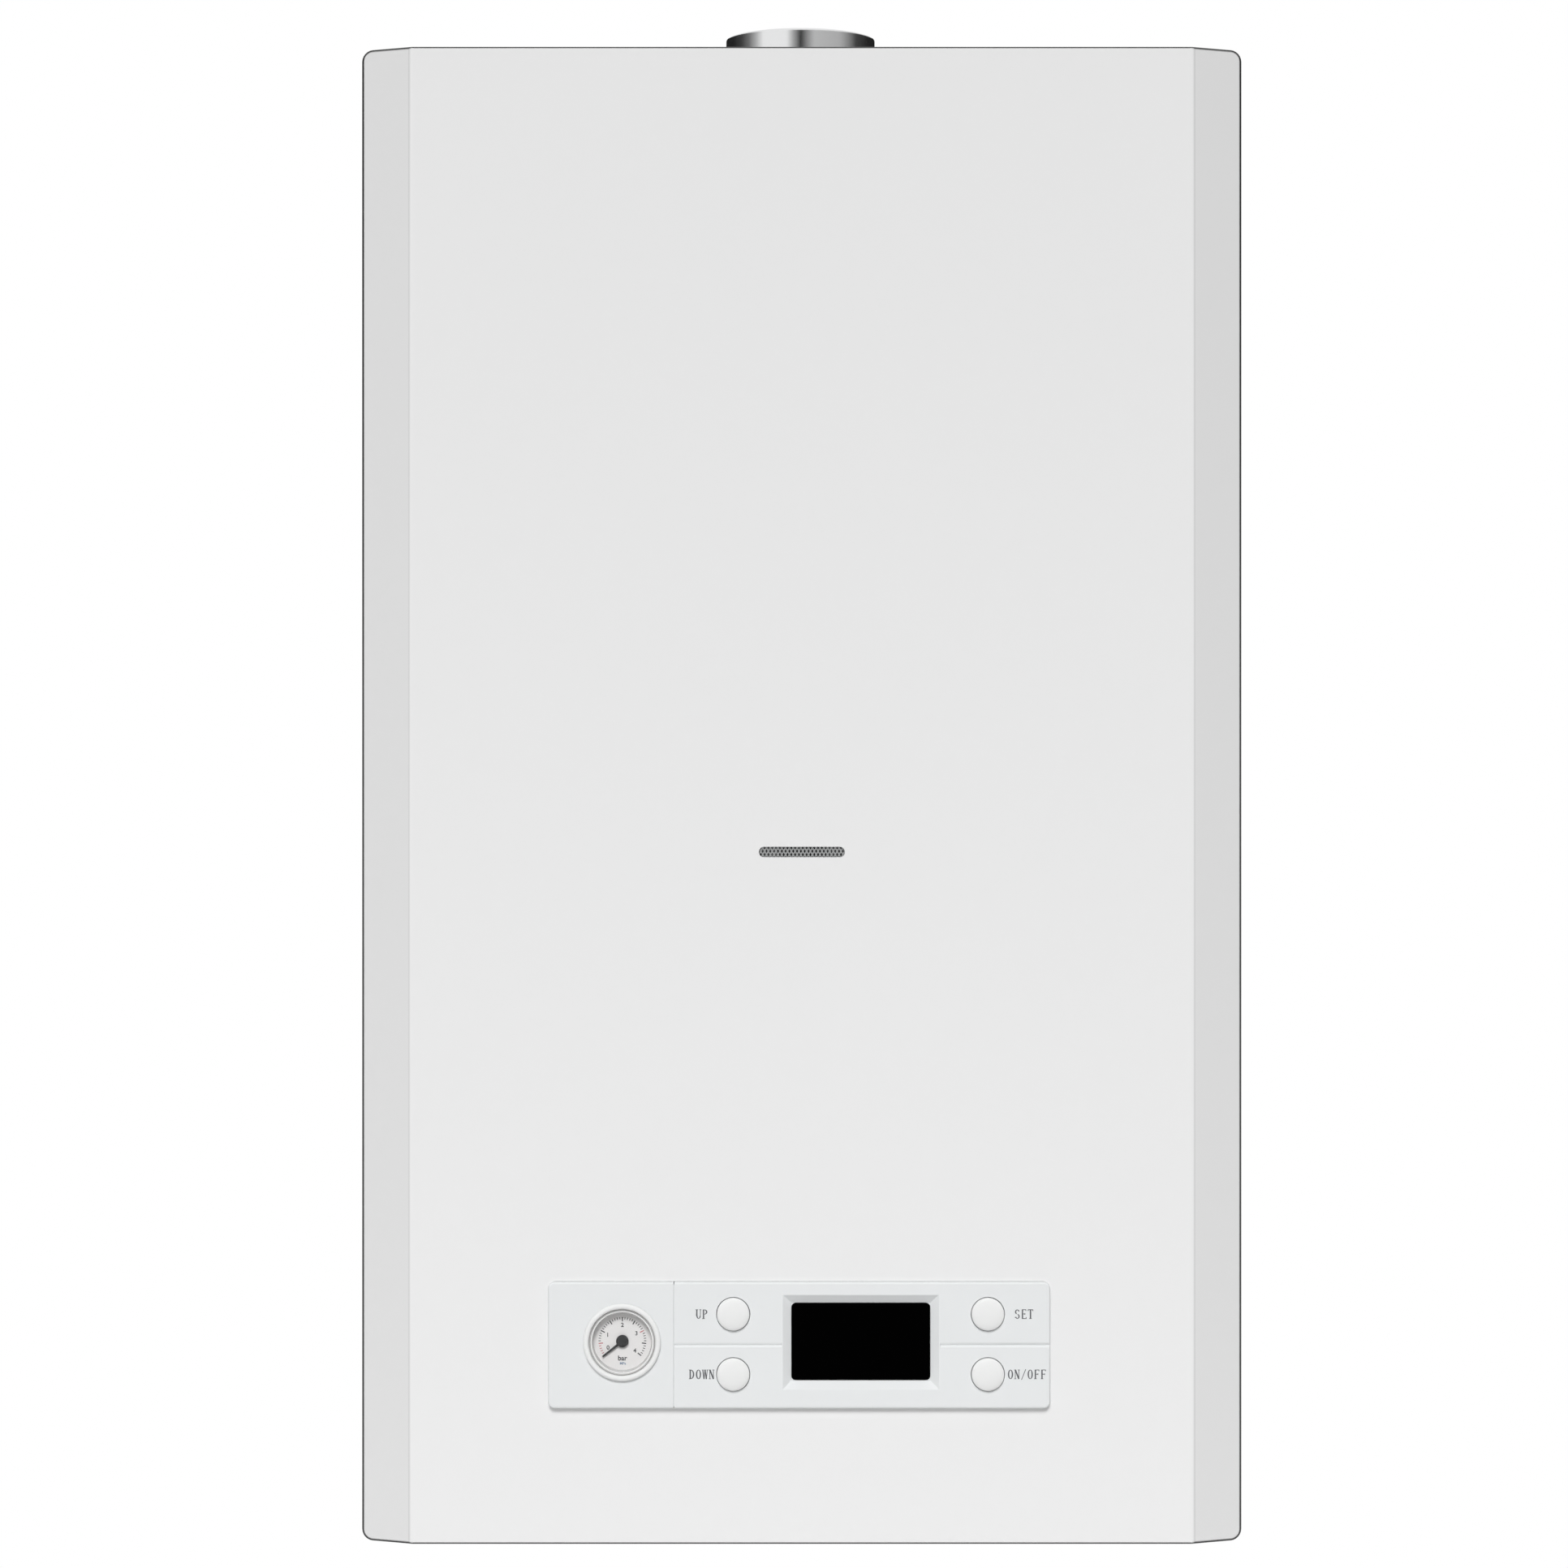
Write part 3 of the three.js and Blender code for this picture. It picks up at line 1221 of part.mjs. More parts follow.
function returnManifold() {
  const hosePort = post(hoseRadius + overlap, [blockTop - overlap, blockTop + hosePortHeight])
    .translate(vesselPortX, hosePortY, 0);
  const stub = (x) => toFront(post(valveStubRadius, [-overlap, valveStubLength]))
    .translate(x, blockFront, knobZ);
  const stemBore = (x) => toFront(
    post(knobStemRadius + runningGap, [valveStubLength - knobStemLength, valveStubLength + past], smallSides))
    .translate(x, blockFront, knobZ);
  return cut(
    join(waterBlock(returnBlockX), hosePort, stub(reliefX), stub(fillingX)),
    stemBore(reliefX), stemBore(fillingX));
}

// A ribbed hand knob on a stem that turns in its valve.
function knob(ribs) {
  const length = [seat, knobLength];
  const stem = [2 * seat - knobStemLength, seat + overlap];
  const rib = (i) => block([0, knobRadius], around(0, knobRib), length).rotateZ((i / ribs) * Math.PI * 2);
  return join(...[
    post(knobRadius - knobRibDepth, length), post(knobStemRadius, stem, smallSides), ...repeat(ribs, rib),
  ].map(toFront));
}

function flowManifold() {
  const riser = post(riserRadius + riserSocket, [blockTop - overlap, blockTop + flowRiserHeight])
    .translate(flowRiserX, pumpY, 0);
  const cavity = post(plugRadius + plugGap, [blockSill + diverterCavityFloor, blockTop + past])
    .translate(diverterX, pumpY, 0);
  return cut(join(waterBlock(flowBlockX), riser), cavity);
}

function diverterMotor() {
  const base = blockTop + seat;
  const body = block(
    around(0, diverterWidth), around(0, diverterWidth), [base + diverterFlange, base + diverterHeight]);
  const flange = post(diverterFlangeRadius, [base, base + diverterFlange + overlap]);
  const bore = post(spindleRadius + runningGap, [base - past, base + diverterBore], smallSides);
  return cut(join(body, flange), bore);
}

function diverterSpindle() {
  const plugTop = blockTop - plugDepth + plugThickness - diverterTravel;
  const spindle = [plugTop - overlap, blockTop + seat + spindleEngagement];
  return join(post(plugRadius, [plugTop - plugThickness, plugTop]), post(spindleRadius, spindle, smallSides));
}

// A brazed stack of plates, grooved between them, behind the two water blocks.
function plateHeatExchanger() {
  const half = platesHeight / 2;
  const pitch = platesDepth / plateCount;
  const edge = (height) => repeat(plateCount, (i) => {
    const y = blockBack + seat + i * pitch;
    const plateEnd = y + pitch - plateGrooveWidth;
    const inner = height - Math.sign(height) * plateGrooveDepth;
    return [[y, height], [plateEnd, height], [plateEnd, inner], [y + pitch, inner]];
  }).flat();
  const stack = across(outline([...edge(-half), ...edge(half).reverse()]), around(0, platesWidth));
  return stack.translate(0, 0, blockSill + platesRaise + half);
}

function pumpBody() {
  const half = pumpBodyLength / 2;
  const outletTop = pumpOutletTop - pumpZ;
  return cut(
    join(
      toFront(post(pumpRadius, [-half, half], fineSides)),
      post(pumpNeckRadius, [blockTop + seat - pumpZ, 0]),
      post(pumpNeckRadius, [0, outletTop]).translate(pumpOutletOffset, 0, 0),
      post(ventRadius, [0, pumpRadius + ventRise]).translate(-ventOffset, 0, 0)),
    toFront(post(pumpCavityRadius, [-half + pumpCavityFloor, half + past], fineSides)),
    post(pumpBoreRadius, [0, outletTop + past]).translate(pumpOutletOffset, 0, 0));
}

function pumpMotor() {
  const back = pumpBodyLength / 2 + seat;
  const front = back + pumpMotorLength;
  const barrel = pumpMotorRadius - pumpMotorStep;
  const bore = pumpShaftRadius + runningGap;
  const boreEnd = back + pumpShaftEngagement + seat;
  return toFront(turned([
    [bore, back], [pumpMotorRadius, back], [pumpMotorRadius, back + pumpMotorFlange],
    [barrel, back + pumpMotorFlange], [barrel, front - pumpMotorStep], [barrel - pumpMotorStep, front],
    [0, front], [0, boreEnd], [bore, boreEnd], [bore, back],
  ], fineSides));
}

function pumpImpeller() {
  const half = pumpBodyLength / 2;
  const rear = -half + pumpCavityFloor + pumpWheelGap;
  const vaneFront = half - 2 * pumpWheelGap;
  const vane = (i) => block(
    [0, pumpWheelRadius - overlap], around(0, pumpVaneThickness), [rear + overlap, vaneFront])
    .rotateZ((i / pumpVanes) * Math.PI * 2);
  return join(...[
    post(pumpWheelRadius, [rear, rear + pumpWheelPlate]), post(pumpHubRadius, [rear, vaneFront]),
    post(pumpShaftRadius, [rear, half + seat + pumpShaftEngagement], smallSides),
    ...repeat(pumpVanes, vane),
  ].map(toFront));
}

const exchangerReturnPipe = () => pipe([
  [portHalf + seat, pumpY, exchangerMiddle], [riserX, pumpY, exchangerMiddle],
  [riserX, pumpY, pumpOutletTop + seat],
], riserRadius);

function exchangerFlowPipe() {
  const y = tubeY(waterTubes - 1);
  const crossZ = chamberBottom - flowCrossDrop;
  return pipe([
    [-portHalf - seat, y, exchangerMiddle], [-riserX, y, exchangerMiddle], [-riserX, y, crossZ],
    [flowRiserX, pumpY, crossZ], [flowRiserX, pumpY, blockTop + flowRiserHeight + seat],
  ], riserRadius);
}

// The valve's block with its coil on top and the inlet that stands on the gas connection.
function gasValve() {
  const top = gasValveSill + gasValveHeight;
  const bodyTop = top - gasCoilHeight;
  return join(
    block(around(0, gasValveWidth), around(0, gasValveDepth), [gasValveSill, bodyTop]),
    post(gasCoilRadius, [bodyTop - overlap, top]).translate(gasCoilX, 0, 0),
    block(
      around(gasPlugX, gasPlugWidth), around(0, gasPlugDepth), [bodyTop - overlap, bodyTop + gasPlugHeight]),
    post(gasInletRadius, [blockSill, gasValveSill + overlap]),
    toFront(post(gasSocketRadius, [0, gasValveDepth / 2])).translate(0, 0, gasPortZ));
}

// ---------------------------------------------------------------- assembly

function casing() {
  const group = new THREE.Group();
  group.add(part('wall_bracket', wallBracket(), galvanised));
  group.add(part('back_frame', backFrame(), galvanised));
  group.add(part('left_side_panel', sidePanel(-1), whiteEnamel));
  group.add(part('right_side_panel', sidePanel(1), whiteEnamel));
  group.add(part('top_panel', topPanel(), whiteEnamel));
  group.add(part('bottom_plate', bottomPlate(), galvanised));
  group.add(part('front_cover', frontCover(), whiteEnamel));
  group.add(part('sight_grille', sightGrille(), polishedSteel, [0, 0, sightZ]));
  group.add(part('cover_screw_left', coverScrew(), galvanised, [-screwOffset, screwY, 0]));
  group.add(part('cover_screw_right', coverScrew(), galvanised, [screwOffset, screwY, 0]));
  group.add(part('cable_gland', cableGland(), blackPlastic, [glandX, -glandSetBack, 0]));
  return group;
}

function controls() {
  const group = new THREE.Group();
  group.add(part('gauge_panel', gaugePanel(), whitePlastic));
  group.add(part('control_fascia', controlFascia(), whitePlastic));
  group.add(part('display_window', displayWindow(), blackGlass));
  group.add(part('control_box', controlBox(), greyPlastic));
  group.add(part('control_board', controlBoard(), boardGreen));
  buttons.forEach(({ name, x, z }) => group.add(part(name, pushButton(), whitePlastic, [x, panelFace, z])));
  return group;
}

function gauge() {
  const group = new THREE.Group();
  group.position.set(gaugeX, panelFace, windowZ);
  group.add(part('gauge_case', gaugeCase(), whitePlastic));
  group.add(part('gauge_dial', gaugeDial(), whitePlastic));
  group.add(part('gauge_needle', gaugeNeedle(), blackPlastic));
  group.add(part('gauge_lens', gaugeLens(), clearGlass));
  return group;
}

function flue() {
  const group = new THREE.Group();
  group.position.y = -flueSetBack;
  group.add(part('flue_collar', flueCollar(), polishedSteel));
  group.add(part('exhaust_duct', exhaustDuct(), polishedSteel));
  return group;
}

function fan() {
  const group = new THREE.Group();
  group.position.set(fanX, -flueSetBack, fanZ);
  group.add(part('fan_housing', fanHousing(), galvanised));
  group.add(part('fan_motor', fanMotor(), castMetal));
  group.add(part('fan_impeller', fanImpeller(), aluminised));
  return group;
}

function chamber() {
  const group = new THREE.Group();
  const switchAt = [chamberHalf - sheet - seat, -switchSetBack, fanZ];
  const glassAt = [0, doorBack - sheet - doorDish - seat, sightZ];
  group.add(part('chamber_shell', chamberShell(), galvanised));
  group.add(part('chamber_door', chamberDoor(), galvanised, [0, 0, chamberMiddle]));
  group.add(part('chamber_door_seal', chamberDoorSeal(), rubber, [0, 0, chamberMiddle]));
  group.add(part('sight_glass', sightGlass(), clearGlass, glassAt));
  group.add(part('flue_hood', flueHood(), aluminised));
  group.add(part('heat_exchanger', heatExchanger(), copper));
  group.add(part('combustion_box', combustionBox(), aluminised));
  group.add(part('burner', burner(), polishedSteel));
  group.add(part('gas_manifold', gasManifold(), castMetal));
  group.add(part('flame_electrode', flameElectrode(), ceramic, [-electrodeOffset, combustionFront, sightZ]));
  group.add(part('air_pressure_switch', airPressureSwitch(), greyPlastic, switchAt));
  return group;
}

function pump() {
  const group = new THREE.Group();
  group.position.set(pumpX, pumpY, pumpZ);
  group.add(part('pump_body', pumpBody(), castMetal));
  group.add(part('pump_motor', pumpMotor(), blackPlastic));
  group.add(part('pump_impeller', pumpImpeller(), whitePlastic));
  return group;
}

function waterSide() {
  const group = new THREE.Group();
  group.add(part('expansion_vessel', expansionVessel(), redEnamel, [0, 0, vesselMiddleZ]));
  group.add(part('expansion_hose', expansionHose(), rubber));
  group.add(part('return_manifold', returnManifold(), brass));
  group.add(part('flow_manifold', flowManifold(), brass));
  group.add(part('relief_valve_knob', knob(6), redPlastic, [reliefX, knobBack, knobZ]));
  group.add(part('filling_tap_knob', knob(8), bluePlastic, [fillingX, knobBack, knobZ]));
  group.add(part('diverter_motor', diverterMotor(), blackPlastic, [diverterX, pumpY, 0]));
  group.add(part('diverter_spindle', diverterSpindle(), brass, [diverterX, pumpY, 0]));
  group.add(part('plate_heat_exchanger', plateHeatExchanger(), polishedSteel));
  group.add(part('exchanger_return_pipe', exchangerReturnPipe(), copper));
  group.add(part('exchanger_flow_pipe', exchangerFlowPipe(), copper));
  group.add(part('gas_valve', gasValve(), castMetal, [0, -pipeRowSetBack, 0]));
  connections.forEach((union) => group.add(
    part(union.name, connectionUnion(union), brass, [union.x, -pipeRowSetBack, 0])));
  return group;
}

const boiler = new THREE.Group();
boiler.name = 'combi_boiler';
boiler.position.z = -bracketZ;
boiler.add(casing(), controls(), gauge(), flue(), chamber(), fan(), waterSide(), pump());

export default boiler;
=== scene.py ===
"""The looks of a wall-hung combi boiler: enamelled casing, polished flue, control panel with
gauge, display and keys, and the copper, brass and steel inside it. Metres, +Z up."""
import json
import math

import bmesh
import bpy
from bpy.props import FloatProperty, FloatVectorProperty, PointerProperty
from mathutils import Matrix, Vector

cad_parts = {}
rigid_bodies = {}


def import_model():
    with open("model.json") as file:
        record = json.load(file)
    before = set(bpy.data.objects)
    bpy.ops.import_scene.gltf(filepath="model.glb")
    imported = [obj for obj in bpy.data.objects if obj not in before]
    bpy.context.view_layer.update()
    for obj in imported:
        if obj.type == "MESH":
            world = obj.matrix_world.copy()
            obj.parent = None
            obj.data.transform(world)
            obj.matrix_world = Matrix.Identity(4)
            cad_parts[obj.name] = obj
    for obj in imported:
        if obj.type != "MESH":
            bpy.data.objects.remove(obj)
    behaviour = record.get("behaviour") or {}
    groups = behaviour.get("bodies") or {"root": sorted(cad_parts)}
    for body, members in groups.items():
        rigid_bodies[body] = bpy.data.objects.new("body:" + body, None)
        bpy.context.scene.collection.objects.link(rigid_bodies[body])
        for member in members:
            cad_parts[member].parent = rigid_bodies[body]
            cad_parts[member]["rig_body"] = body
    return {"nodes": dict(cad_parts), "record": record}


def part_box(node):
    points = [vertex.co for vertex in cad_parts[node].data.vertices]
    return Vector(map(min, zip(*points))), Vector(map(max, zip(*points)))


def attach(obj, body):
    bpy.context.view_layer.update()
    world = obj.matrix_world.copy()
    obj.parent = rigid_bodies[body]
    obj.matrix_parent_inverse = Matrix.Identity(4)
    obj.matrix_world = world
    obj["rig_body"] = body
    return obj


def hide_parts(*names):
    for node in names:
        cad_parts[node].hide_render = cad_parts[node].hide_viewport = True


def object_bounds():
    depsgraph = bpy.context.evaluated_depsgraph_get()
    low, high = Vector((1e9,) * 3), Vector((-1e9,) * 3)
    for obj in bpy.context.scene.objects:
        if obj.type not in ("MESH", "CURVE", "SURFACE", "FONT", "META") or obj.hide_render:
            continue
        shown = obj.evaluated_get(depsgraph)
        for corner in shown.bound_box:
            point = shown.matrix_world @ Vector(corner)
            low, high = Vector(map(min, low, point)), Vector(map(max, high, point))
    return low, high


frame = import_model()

bl_info = {
    "name": "Combi Boiler",
    "version": (1, 0, 0),
    "blender": (4, 5, 0),
    "location": "View3D > Sidebar > Boiler",
    "description": "Dresses a wall-hung combi boiler and lights it in a plain studio",
    "category": "Object",
}

CAD_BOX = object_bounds()
MM = 0.001

# The photograph's frame, and the casing in it.
IMAGE_PX = 1932
CASE_PX = 1084
CASE_CENTRE_PX = (988, 980)

# Mesh work.
MERGE = 1e-6
TURN_STEPS = 72
EDGE_STEPS = 4  # on the small rounded edge of a turned or moulded part
BEAD_STEPS = 8
CORNER_SEGMENTS = 6
FOLD_SEGMENTS = 3
OPENING_SEGMENTS = 8
PIPE_LEVELS = 2
ALONG = 0.999  # share of an edge's direction that counts as along an axis
FACING = 0.9  # share of a face's normal that counts as facing along an axis
FLAT_ANGLE = math.radians(0.6)
FOLD_ANGLE = math.radians(20)
SQUARE_ANGLE = math.radians(70)
RIM_ANGLE = math.radians(80)
SMOOTH_ANGLE = math.radians(38)
COVER_SMOOTH_ANGLE = math.radians(50)
THREAD_SMOOTH_ANGLE = math.radians(28)
PIPE_SMOOTH_ANGLE = math.radians(60)

# The cover: painted shade on its facets and painted dark edges on its folds, and which faces they are.
FACET_PAINTED_SHADE = 0.875
# Facing values over which the folds' painted dark edge sets in.
FOLD_UNSHADED_FACING = 0.06
FOLD_PAINTED_DARK_FACING = 0.32
FLAT_SHARE = 0.9995
SLANT_TOLERANCE = 0.01
SLOT_ROUND = 0.495  # corner radius of the sight slot over its height

# The flue, the panel and the print.
SEAT = 0.3 * MM  # gap under a flange or a hub
FLANGE_EDGE = 0.3 * MM
TAB_GAP = 0.5 * MM
TAB_OVERLAP = 0.3 * MM
TAB_WIDTH = 1.5 * MM
LAP = 0.3 * MM  # depth of the rounded corners over the display
SQUARE_CORNER = 0.1 * MM
SCREEN_EDGE = 0.15 * MM
DOME_STEPS = 10
DOME_POWER = 0.85  # below 1, a key's dome is fuller than an ellipse
PRINT = 0.04 * MM
BAND_STEP = 12  # degrees
TO_FRONT = Matrix.Rotation(math.pi / 2, 4, "X")

SLOTS = {row["node"]: row["material_slot"] for row in frame["record"]["subparts"]}


# ---- sizes and colours

def length(label, millimetres):
    return FloatProperty(name=label, default=millimetres * MM, unit="LENGTH", precision=4)


def strength(label, value):
    return FloatProperty(name=label, default=value)


def colour(label, value):
    return FloatVectorProperty(name=label, default=value, subtype="COLOR", size=3, min=0, max=1)


class CoverSizes(bpy.types.PropertyGroup):
    sheet: length("Thickness of the cover's sheet", 1)
    facet_width: length("Width of the slanted strip at each side", 25.7)
    facet_depth: length("How far the slanted strip falls back", 12)
    corner: length("Radius of the corners seen from the front", 5.5)
    edge: length("Radius of the folded edges", 1.5)
    panel_gap: length("Gap round the control panel", 0.15)
    panel_edge: length("Rounding of the panel's front edges", 1.1)
    display_width: length("Width of the display that shows", 69)
    display_height: length("Height of the display that shows", 38.4)
    display_corner: length("Corner radius of the display", 2)
    seam_depth: length("Depth of the seam between the panel's halves", 0.6)
    panel_corner: length("Corner radius of the panel's opening", 3.7)
    slot_width: length("Width of the sight slot", 42.8)
    slot_height: length("Height of the sight slot", 5.2)
    soft_edge: length("Rounding of the edges of sheets and mouldings", 0.35)


class FlueSizes(bpy.types.PropertyGroup):
    wall: length("Wall of the flue's ducts", 1.2)
    bead: length("Radius of the rolled rim", 0.7)
    flange: length("Thickness of the collar's square flange", 1.5)
    flange_corner: length("Corner radius of the flange", 8)
    collar: length("Outer radius of the air duct", 40)
    exhaust: length("Outer radius of the exhaust duct", 30)
    spacer: length("Height of the spacers between the ducts", 12)


class KeySizes(bpy.types.PropertyGroup):
    cap: length("Radius of a key's cap", 8.1)
    rim: length("How far a cap's rim stands proud", 1.2)
    flange: length("Radius of the flange behind the panel", 9.2)
    flange_front: length("From the panel's face to the flange", 4.5)
    flange_back: length("From the panel's face to the flange's rear", 6)
    stem: length("Radius of the stem that meets the switch", 3)
    cap_height: length("Height of the letters beside the keys", 4.6)
    left_words: length("From the left keys to their words", 15.5)
    set_word: length("From the set key to its word", 18)
    power_word: length("From the power key to its word", 19.5)


class GaugeSizes(bpy.types.PropertyGroup):
    ring: length("Outer radius of the gauge's ring", 19.2)
    ring_inner: length("Inner radius of the ring's white face", 16.5)
    body: length("Radius of the gauge's body", 17.4)
    dial: length("Radius of the dial that shows", 14.4)
    dial_depth: length("From the panel's face to the dial", 5.4)
    tick_outer: length("Radius of the scale's outer edge", 11.9)
    tick_minor: length("Length of a short tick", 1.15)
    tick_major: length("Length of a long tick", 2.2)
    number_radius: length("Radius on which the numbers stand", 7.9)
    number_height: length("Height of the numbers", 2.1)
    hub: length("Radius of the hand's hub", 3.1)
    hand: length("Length of the hand", 12.5)
    hand_width: length("Width of the hand at its hub", 1.35)


class Colours(bpy.types.PropertyGroup):
    enamel: colour("White enamel of the casing", (0.815, 0.815, 0.815))
    panel: colour("White moulding of the panel", (0.77, 0.785, 0.79))
    keys: colour("Key caps and gauge ring", (0.81, 0.815, 0.81))
    dial: colour("Face of the gauge", (0.78, 0.76, 0.755))
    print_grey: colour("Grey of the words on the panel", (0.13, 0.13, 0.14))
    print_red: colour("Red marks on the dial", (0.55, 0.2, 0.22))
    print_blue: colour("Small unit on the dial", (0.22, 0.3, 0.42))
    steel: colour("Polished steel", (0.8, 0.805, 0.81))
    zinc: colour("Galvanised sheet", (0.66, 0.67, 0.68))
    aluminised: colour("Aluminised sheet", (0.5, 0.505, 0.5))
    copper: colour("Copper tube and fins", (0.72, 0.36, 0.21))
    brass: colour("Brass blocks and unions", (0.66, 0.5, 0.24))
    cast: colour("Cast metal", (0.38, 0.39, 0.4))
    red: colour("Red knob and vessel", (0.46, 0.045, 0.035))
    blue: colour("Blue knob", (0.03, 0.1, 0.3))
    board: colour("Lacquer of the circuit board", (0.03, 0.17, 0.07))


class Studio(bpy.types.PropertyGroup):
    camera_distance: length("From the lens to the cover", 2126)
    floor_drop: length("From the lowest connection to the floor", 500)
    shadow_reach: length("The floor shows shadow this far out", 600)
    floor_fade: length("The floor is plain white from here on", 2200)
    ambient: strength("Light from all round", 0.325)
    key_light: strength("Share of light from the front", 0.59)
    side_light: strength("Share of light from each side", 0.38)
    back_light: strength("Share of light from the back", 0.25)


class BoilerLook(bpy.types.PropertyGroup):
    cover: PointerProperty(type=CoverSizes)
    flue: PointerProperty(type=FlueSizes)
    keys: PointerProperty(type=KeySizes)
    gauge: PointerProperty(type=GaugeSizes)
    colours: PointerProperty(type=Colours)
    studio: PointerProperty(type=Studio)


# ---- shader nodes

def add_node(tree, kind, inputs=(), **settings):
    """A node with its settings; inputs maps a socket's name or index to a value or to another socket."""
    node = tree.nodes.new(f"ShaderNode{kind}")
    for name, value in settings.items():
        setattr(node, name, value)
    for socket, value in dict(inputs).items():
        if isinstance(value, bpy.types.NodeSocket):
            tree.links.new(value, node.inputs[socket])
        else:
            node.inputs[socket].default_value = value
    return node


def object_place(tree):
    return add_node(tree, "TexCoord").outputs["Object"]


def math_node(tree, operation, first, second):
    return add_node(tree, "Math", {0: first, 1: second}, operation=operation).outputs[0]


def noise(tree, vector, detail=3.0, scale=1.0):
    return add_node(tree, "TexNoise", {"Scale": scale, "Detail": detail, "Vector": vector}).outputs["Fac"]


def tint(tree, base, dark, factor):
    """The base colour, multiplied towards dark where factor is 1."""
    return add_node(tree, "Mix", {"Factor": factor, "A": base, "B": (*dark, 1)}, data_type="RGBA",
                    blend_type="MULTIPLY").outputs["Result"]


FLOAT = "NodeSocketFloat"
COLOR = "NodeSocketColor"
DETAIL_INPUTS = (("Color", COLOR), ("Variation", FLOAT), ("Scale", "NodeSocketVector"), ("Roughness", FLOAT),
                 ("Unevenness", FLOAT))
DETAIL_OUTPUTS = (("Color", COLOR), ("Roughness", FLOAT), ("Height", FLOAT))
BLACK = (0, 0, 0)
TARNISH = (0.25, 0.2, 0.16)
CLOUD_SCALE = 0.02
ZINC_GRAIN_SCALE = 4.0
TARNISH_SCALE = 28.0
TRACK_WIDTH = 0.06
BOARD_LIGHT = (0.35, 0.35, 0.35, 1)
BOARD_DARK = (0.1, 0.1, 0.1, 1)
WHITE = (1, 1, 1, 1)


def grain_pattern(group, place):
    """Paint, moulded plastic and castings: a fine grain over broad, faint clouds."""
    grain = noise(group, place, 2.0)
    both = math_node(group, "ADD", grain, noise(group, place, 2.0, CLOUD_SCALE))
    return math_node(group, "MULTIPLY", both, 0.5), grain, BLACK, 0.5


def spangle_pattern(group, place):
    """Zinc crystals: patches of slightly different brightness and gloss."""
    crystals = add_node(group, "TexVoronoi", {"Vector": place, "Scale": 1.0})
    patch = add_node(group, "SeparateColor", {"Color": crystals.outputs["Color"]}).outputs["Red"]
    return patch, noise(group, place, 3.0, ZINC_GRAIN_SCALE), BLACK, 0.5


def drawn_pattern(group, place):
    """Drawn or brushed metal: long fine lines and a slow tarnish."""
    lines = noise(group, place, 4.0)
    both = math_node(group, "ADD", lines, noise(group, object_place(group), 4.0, TARNISH_SCALE))
    return math_node(group, "MULTIPLY", both, 0.5), lines, TARNISH, 0.5


def tracks_pattern(group, place):
    """Lacquer over copper tracks: a brick pattern of lighter lines on a darker ground."""
    parts = add_node(group, "SeparateXYZ", {0: place})
    flat = add_node(group, "CombineXYZ", {"X": parts.outputs["X"], "Y": parts.outputs["Z"]})
    bricks = add_node(group, "TexBrick", {
        "Vector": flat.outputs[0], "Scale": 1.0, "Mortar Size": TRACK_WIDTH, "Color1": BOARD_LIGHT,
        "Color2": BOARD_DARK, "Mortar": WHITE}).outputs["Color"]
    return math_node(group, "SUBTRACT", 1.0, bricks), bricks, BLACK, 0.0


PATTERNS = {
    "coating": grain_pattern, "spangle": spangle_pattern, "drawn_metal": drawn_pattern, "tracks": tracks_pattern,
}


def make_group(name, pattern):
    """A group that turns a pattern into a colour, a roughness and a height."""
    group = bpy.data.node_groups.new(name, "ShaderNodeTree")
    for sockets, in_out in ((DETAIL_INPUTS, "INPUT"), (DETAIL_OUTPUTS, "OUTPUT")):
        for socket, kind in sockets:
            group.interface.new_socket(name=socket, in_out=in_out, socket_type=kind)
    given = group.nodes.new("NodeGroupInput").outputs
    made = group.nodes.new("NodeGroupOutput").inputs
    place = add_node(group, "VectorMath", {0: object_place(group), 1: given["Scale"]}, operation="MULTIPLY")
    share, height, dark, level = pattern(group, place.outputs[0])
    darkened = math_node(group, "MULTIPLY", share, given["Variation"])
    uneven = math_node(group, "MULTIPLY", math_node(group, "SUBTRACT", share, level), given["Unevenness"])
    group.links.new(tint(group, given["Color"], dark, darkened), made["Color"])
    group.links.new(math_node(group, "ADD", uneven, given["Roughness"]), made["Roughness"])
    group.links.new(height, made["Height"])


# ---- finishes

def finish(name, base, roughness, metallic=0.0, group="coating", scale=900, variation=0.05, unevenness=0.06,
           bump=0.02, bump_depth=0.02 * MM, stretch=(1, 1, 1), **sockets):
    """A material whose colour, gloss and bump come from one of the groups."""
    material = bpy.data.materials.new(f"{name}_finish")
    material.use_nodes = True
    tree = material.node_tree
    shader = tree.nodes["Principled BSDF"]
    detail = tree.nodes.new("ShaderNodeGroup")
    detail.node_tree = bpy.data.node_groups[group]
    for socket, value in (
            ("Color", (*base, 1)), ("Variation", variation), ("Scale", [scale * part for part in stretch]),
            ("Roughness", roughness), ("Unevenness", unevenness)):
        detail.inputs[socket].default_value = value
    relief = add_node(tree, "Bump", {"Strength": bump, "Distance": bump_depth, "Height": detail.outputs["Height"]})
    tree.links.new(detail.outputs["Color"], shader.inputs["Base Color"])
    tree.links.new(detail.outputs["Roughness"], shader.inputs["Roughness"])
    tree.links.new(relief.outputs["Normal"], shader.inputs["Normal"])
    shader.inputs["Metallic"].default_value = metallic
    for socket, value in sockets.items():
        shader.inputs[socket.replace("_", " ")].default_value = value


def finish_of(name):
    return bpy.data.materials[f"{name}_finish"]


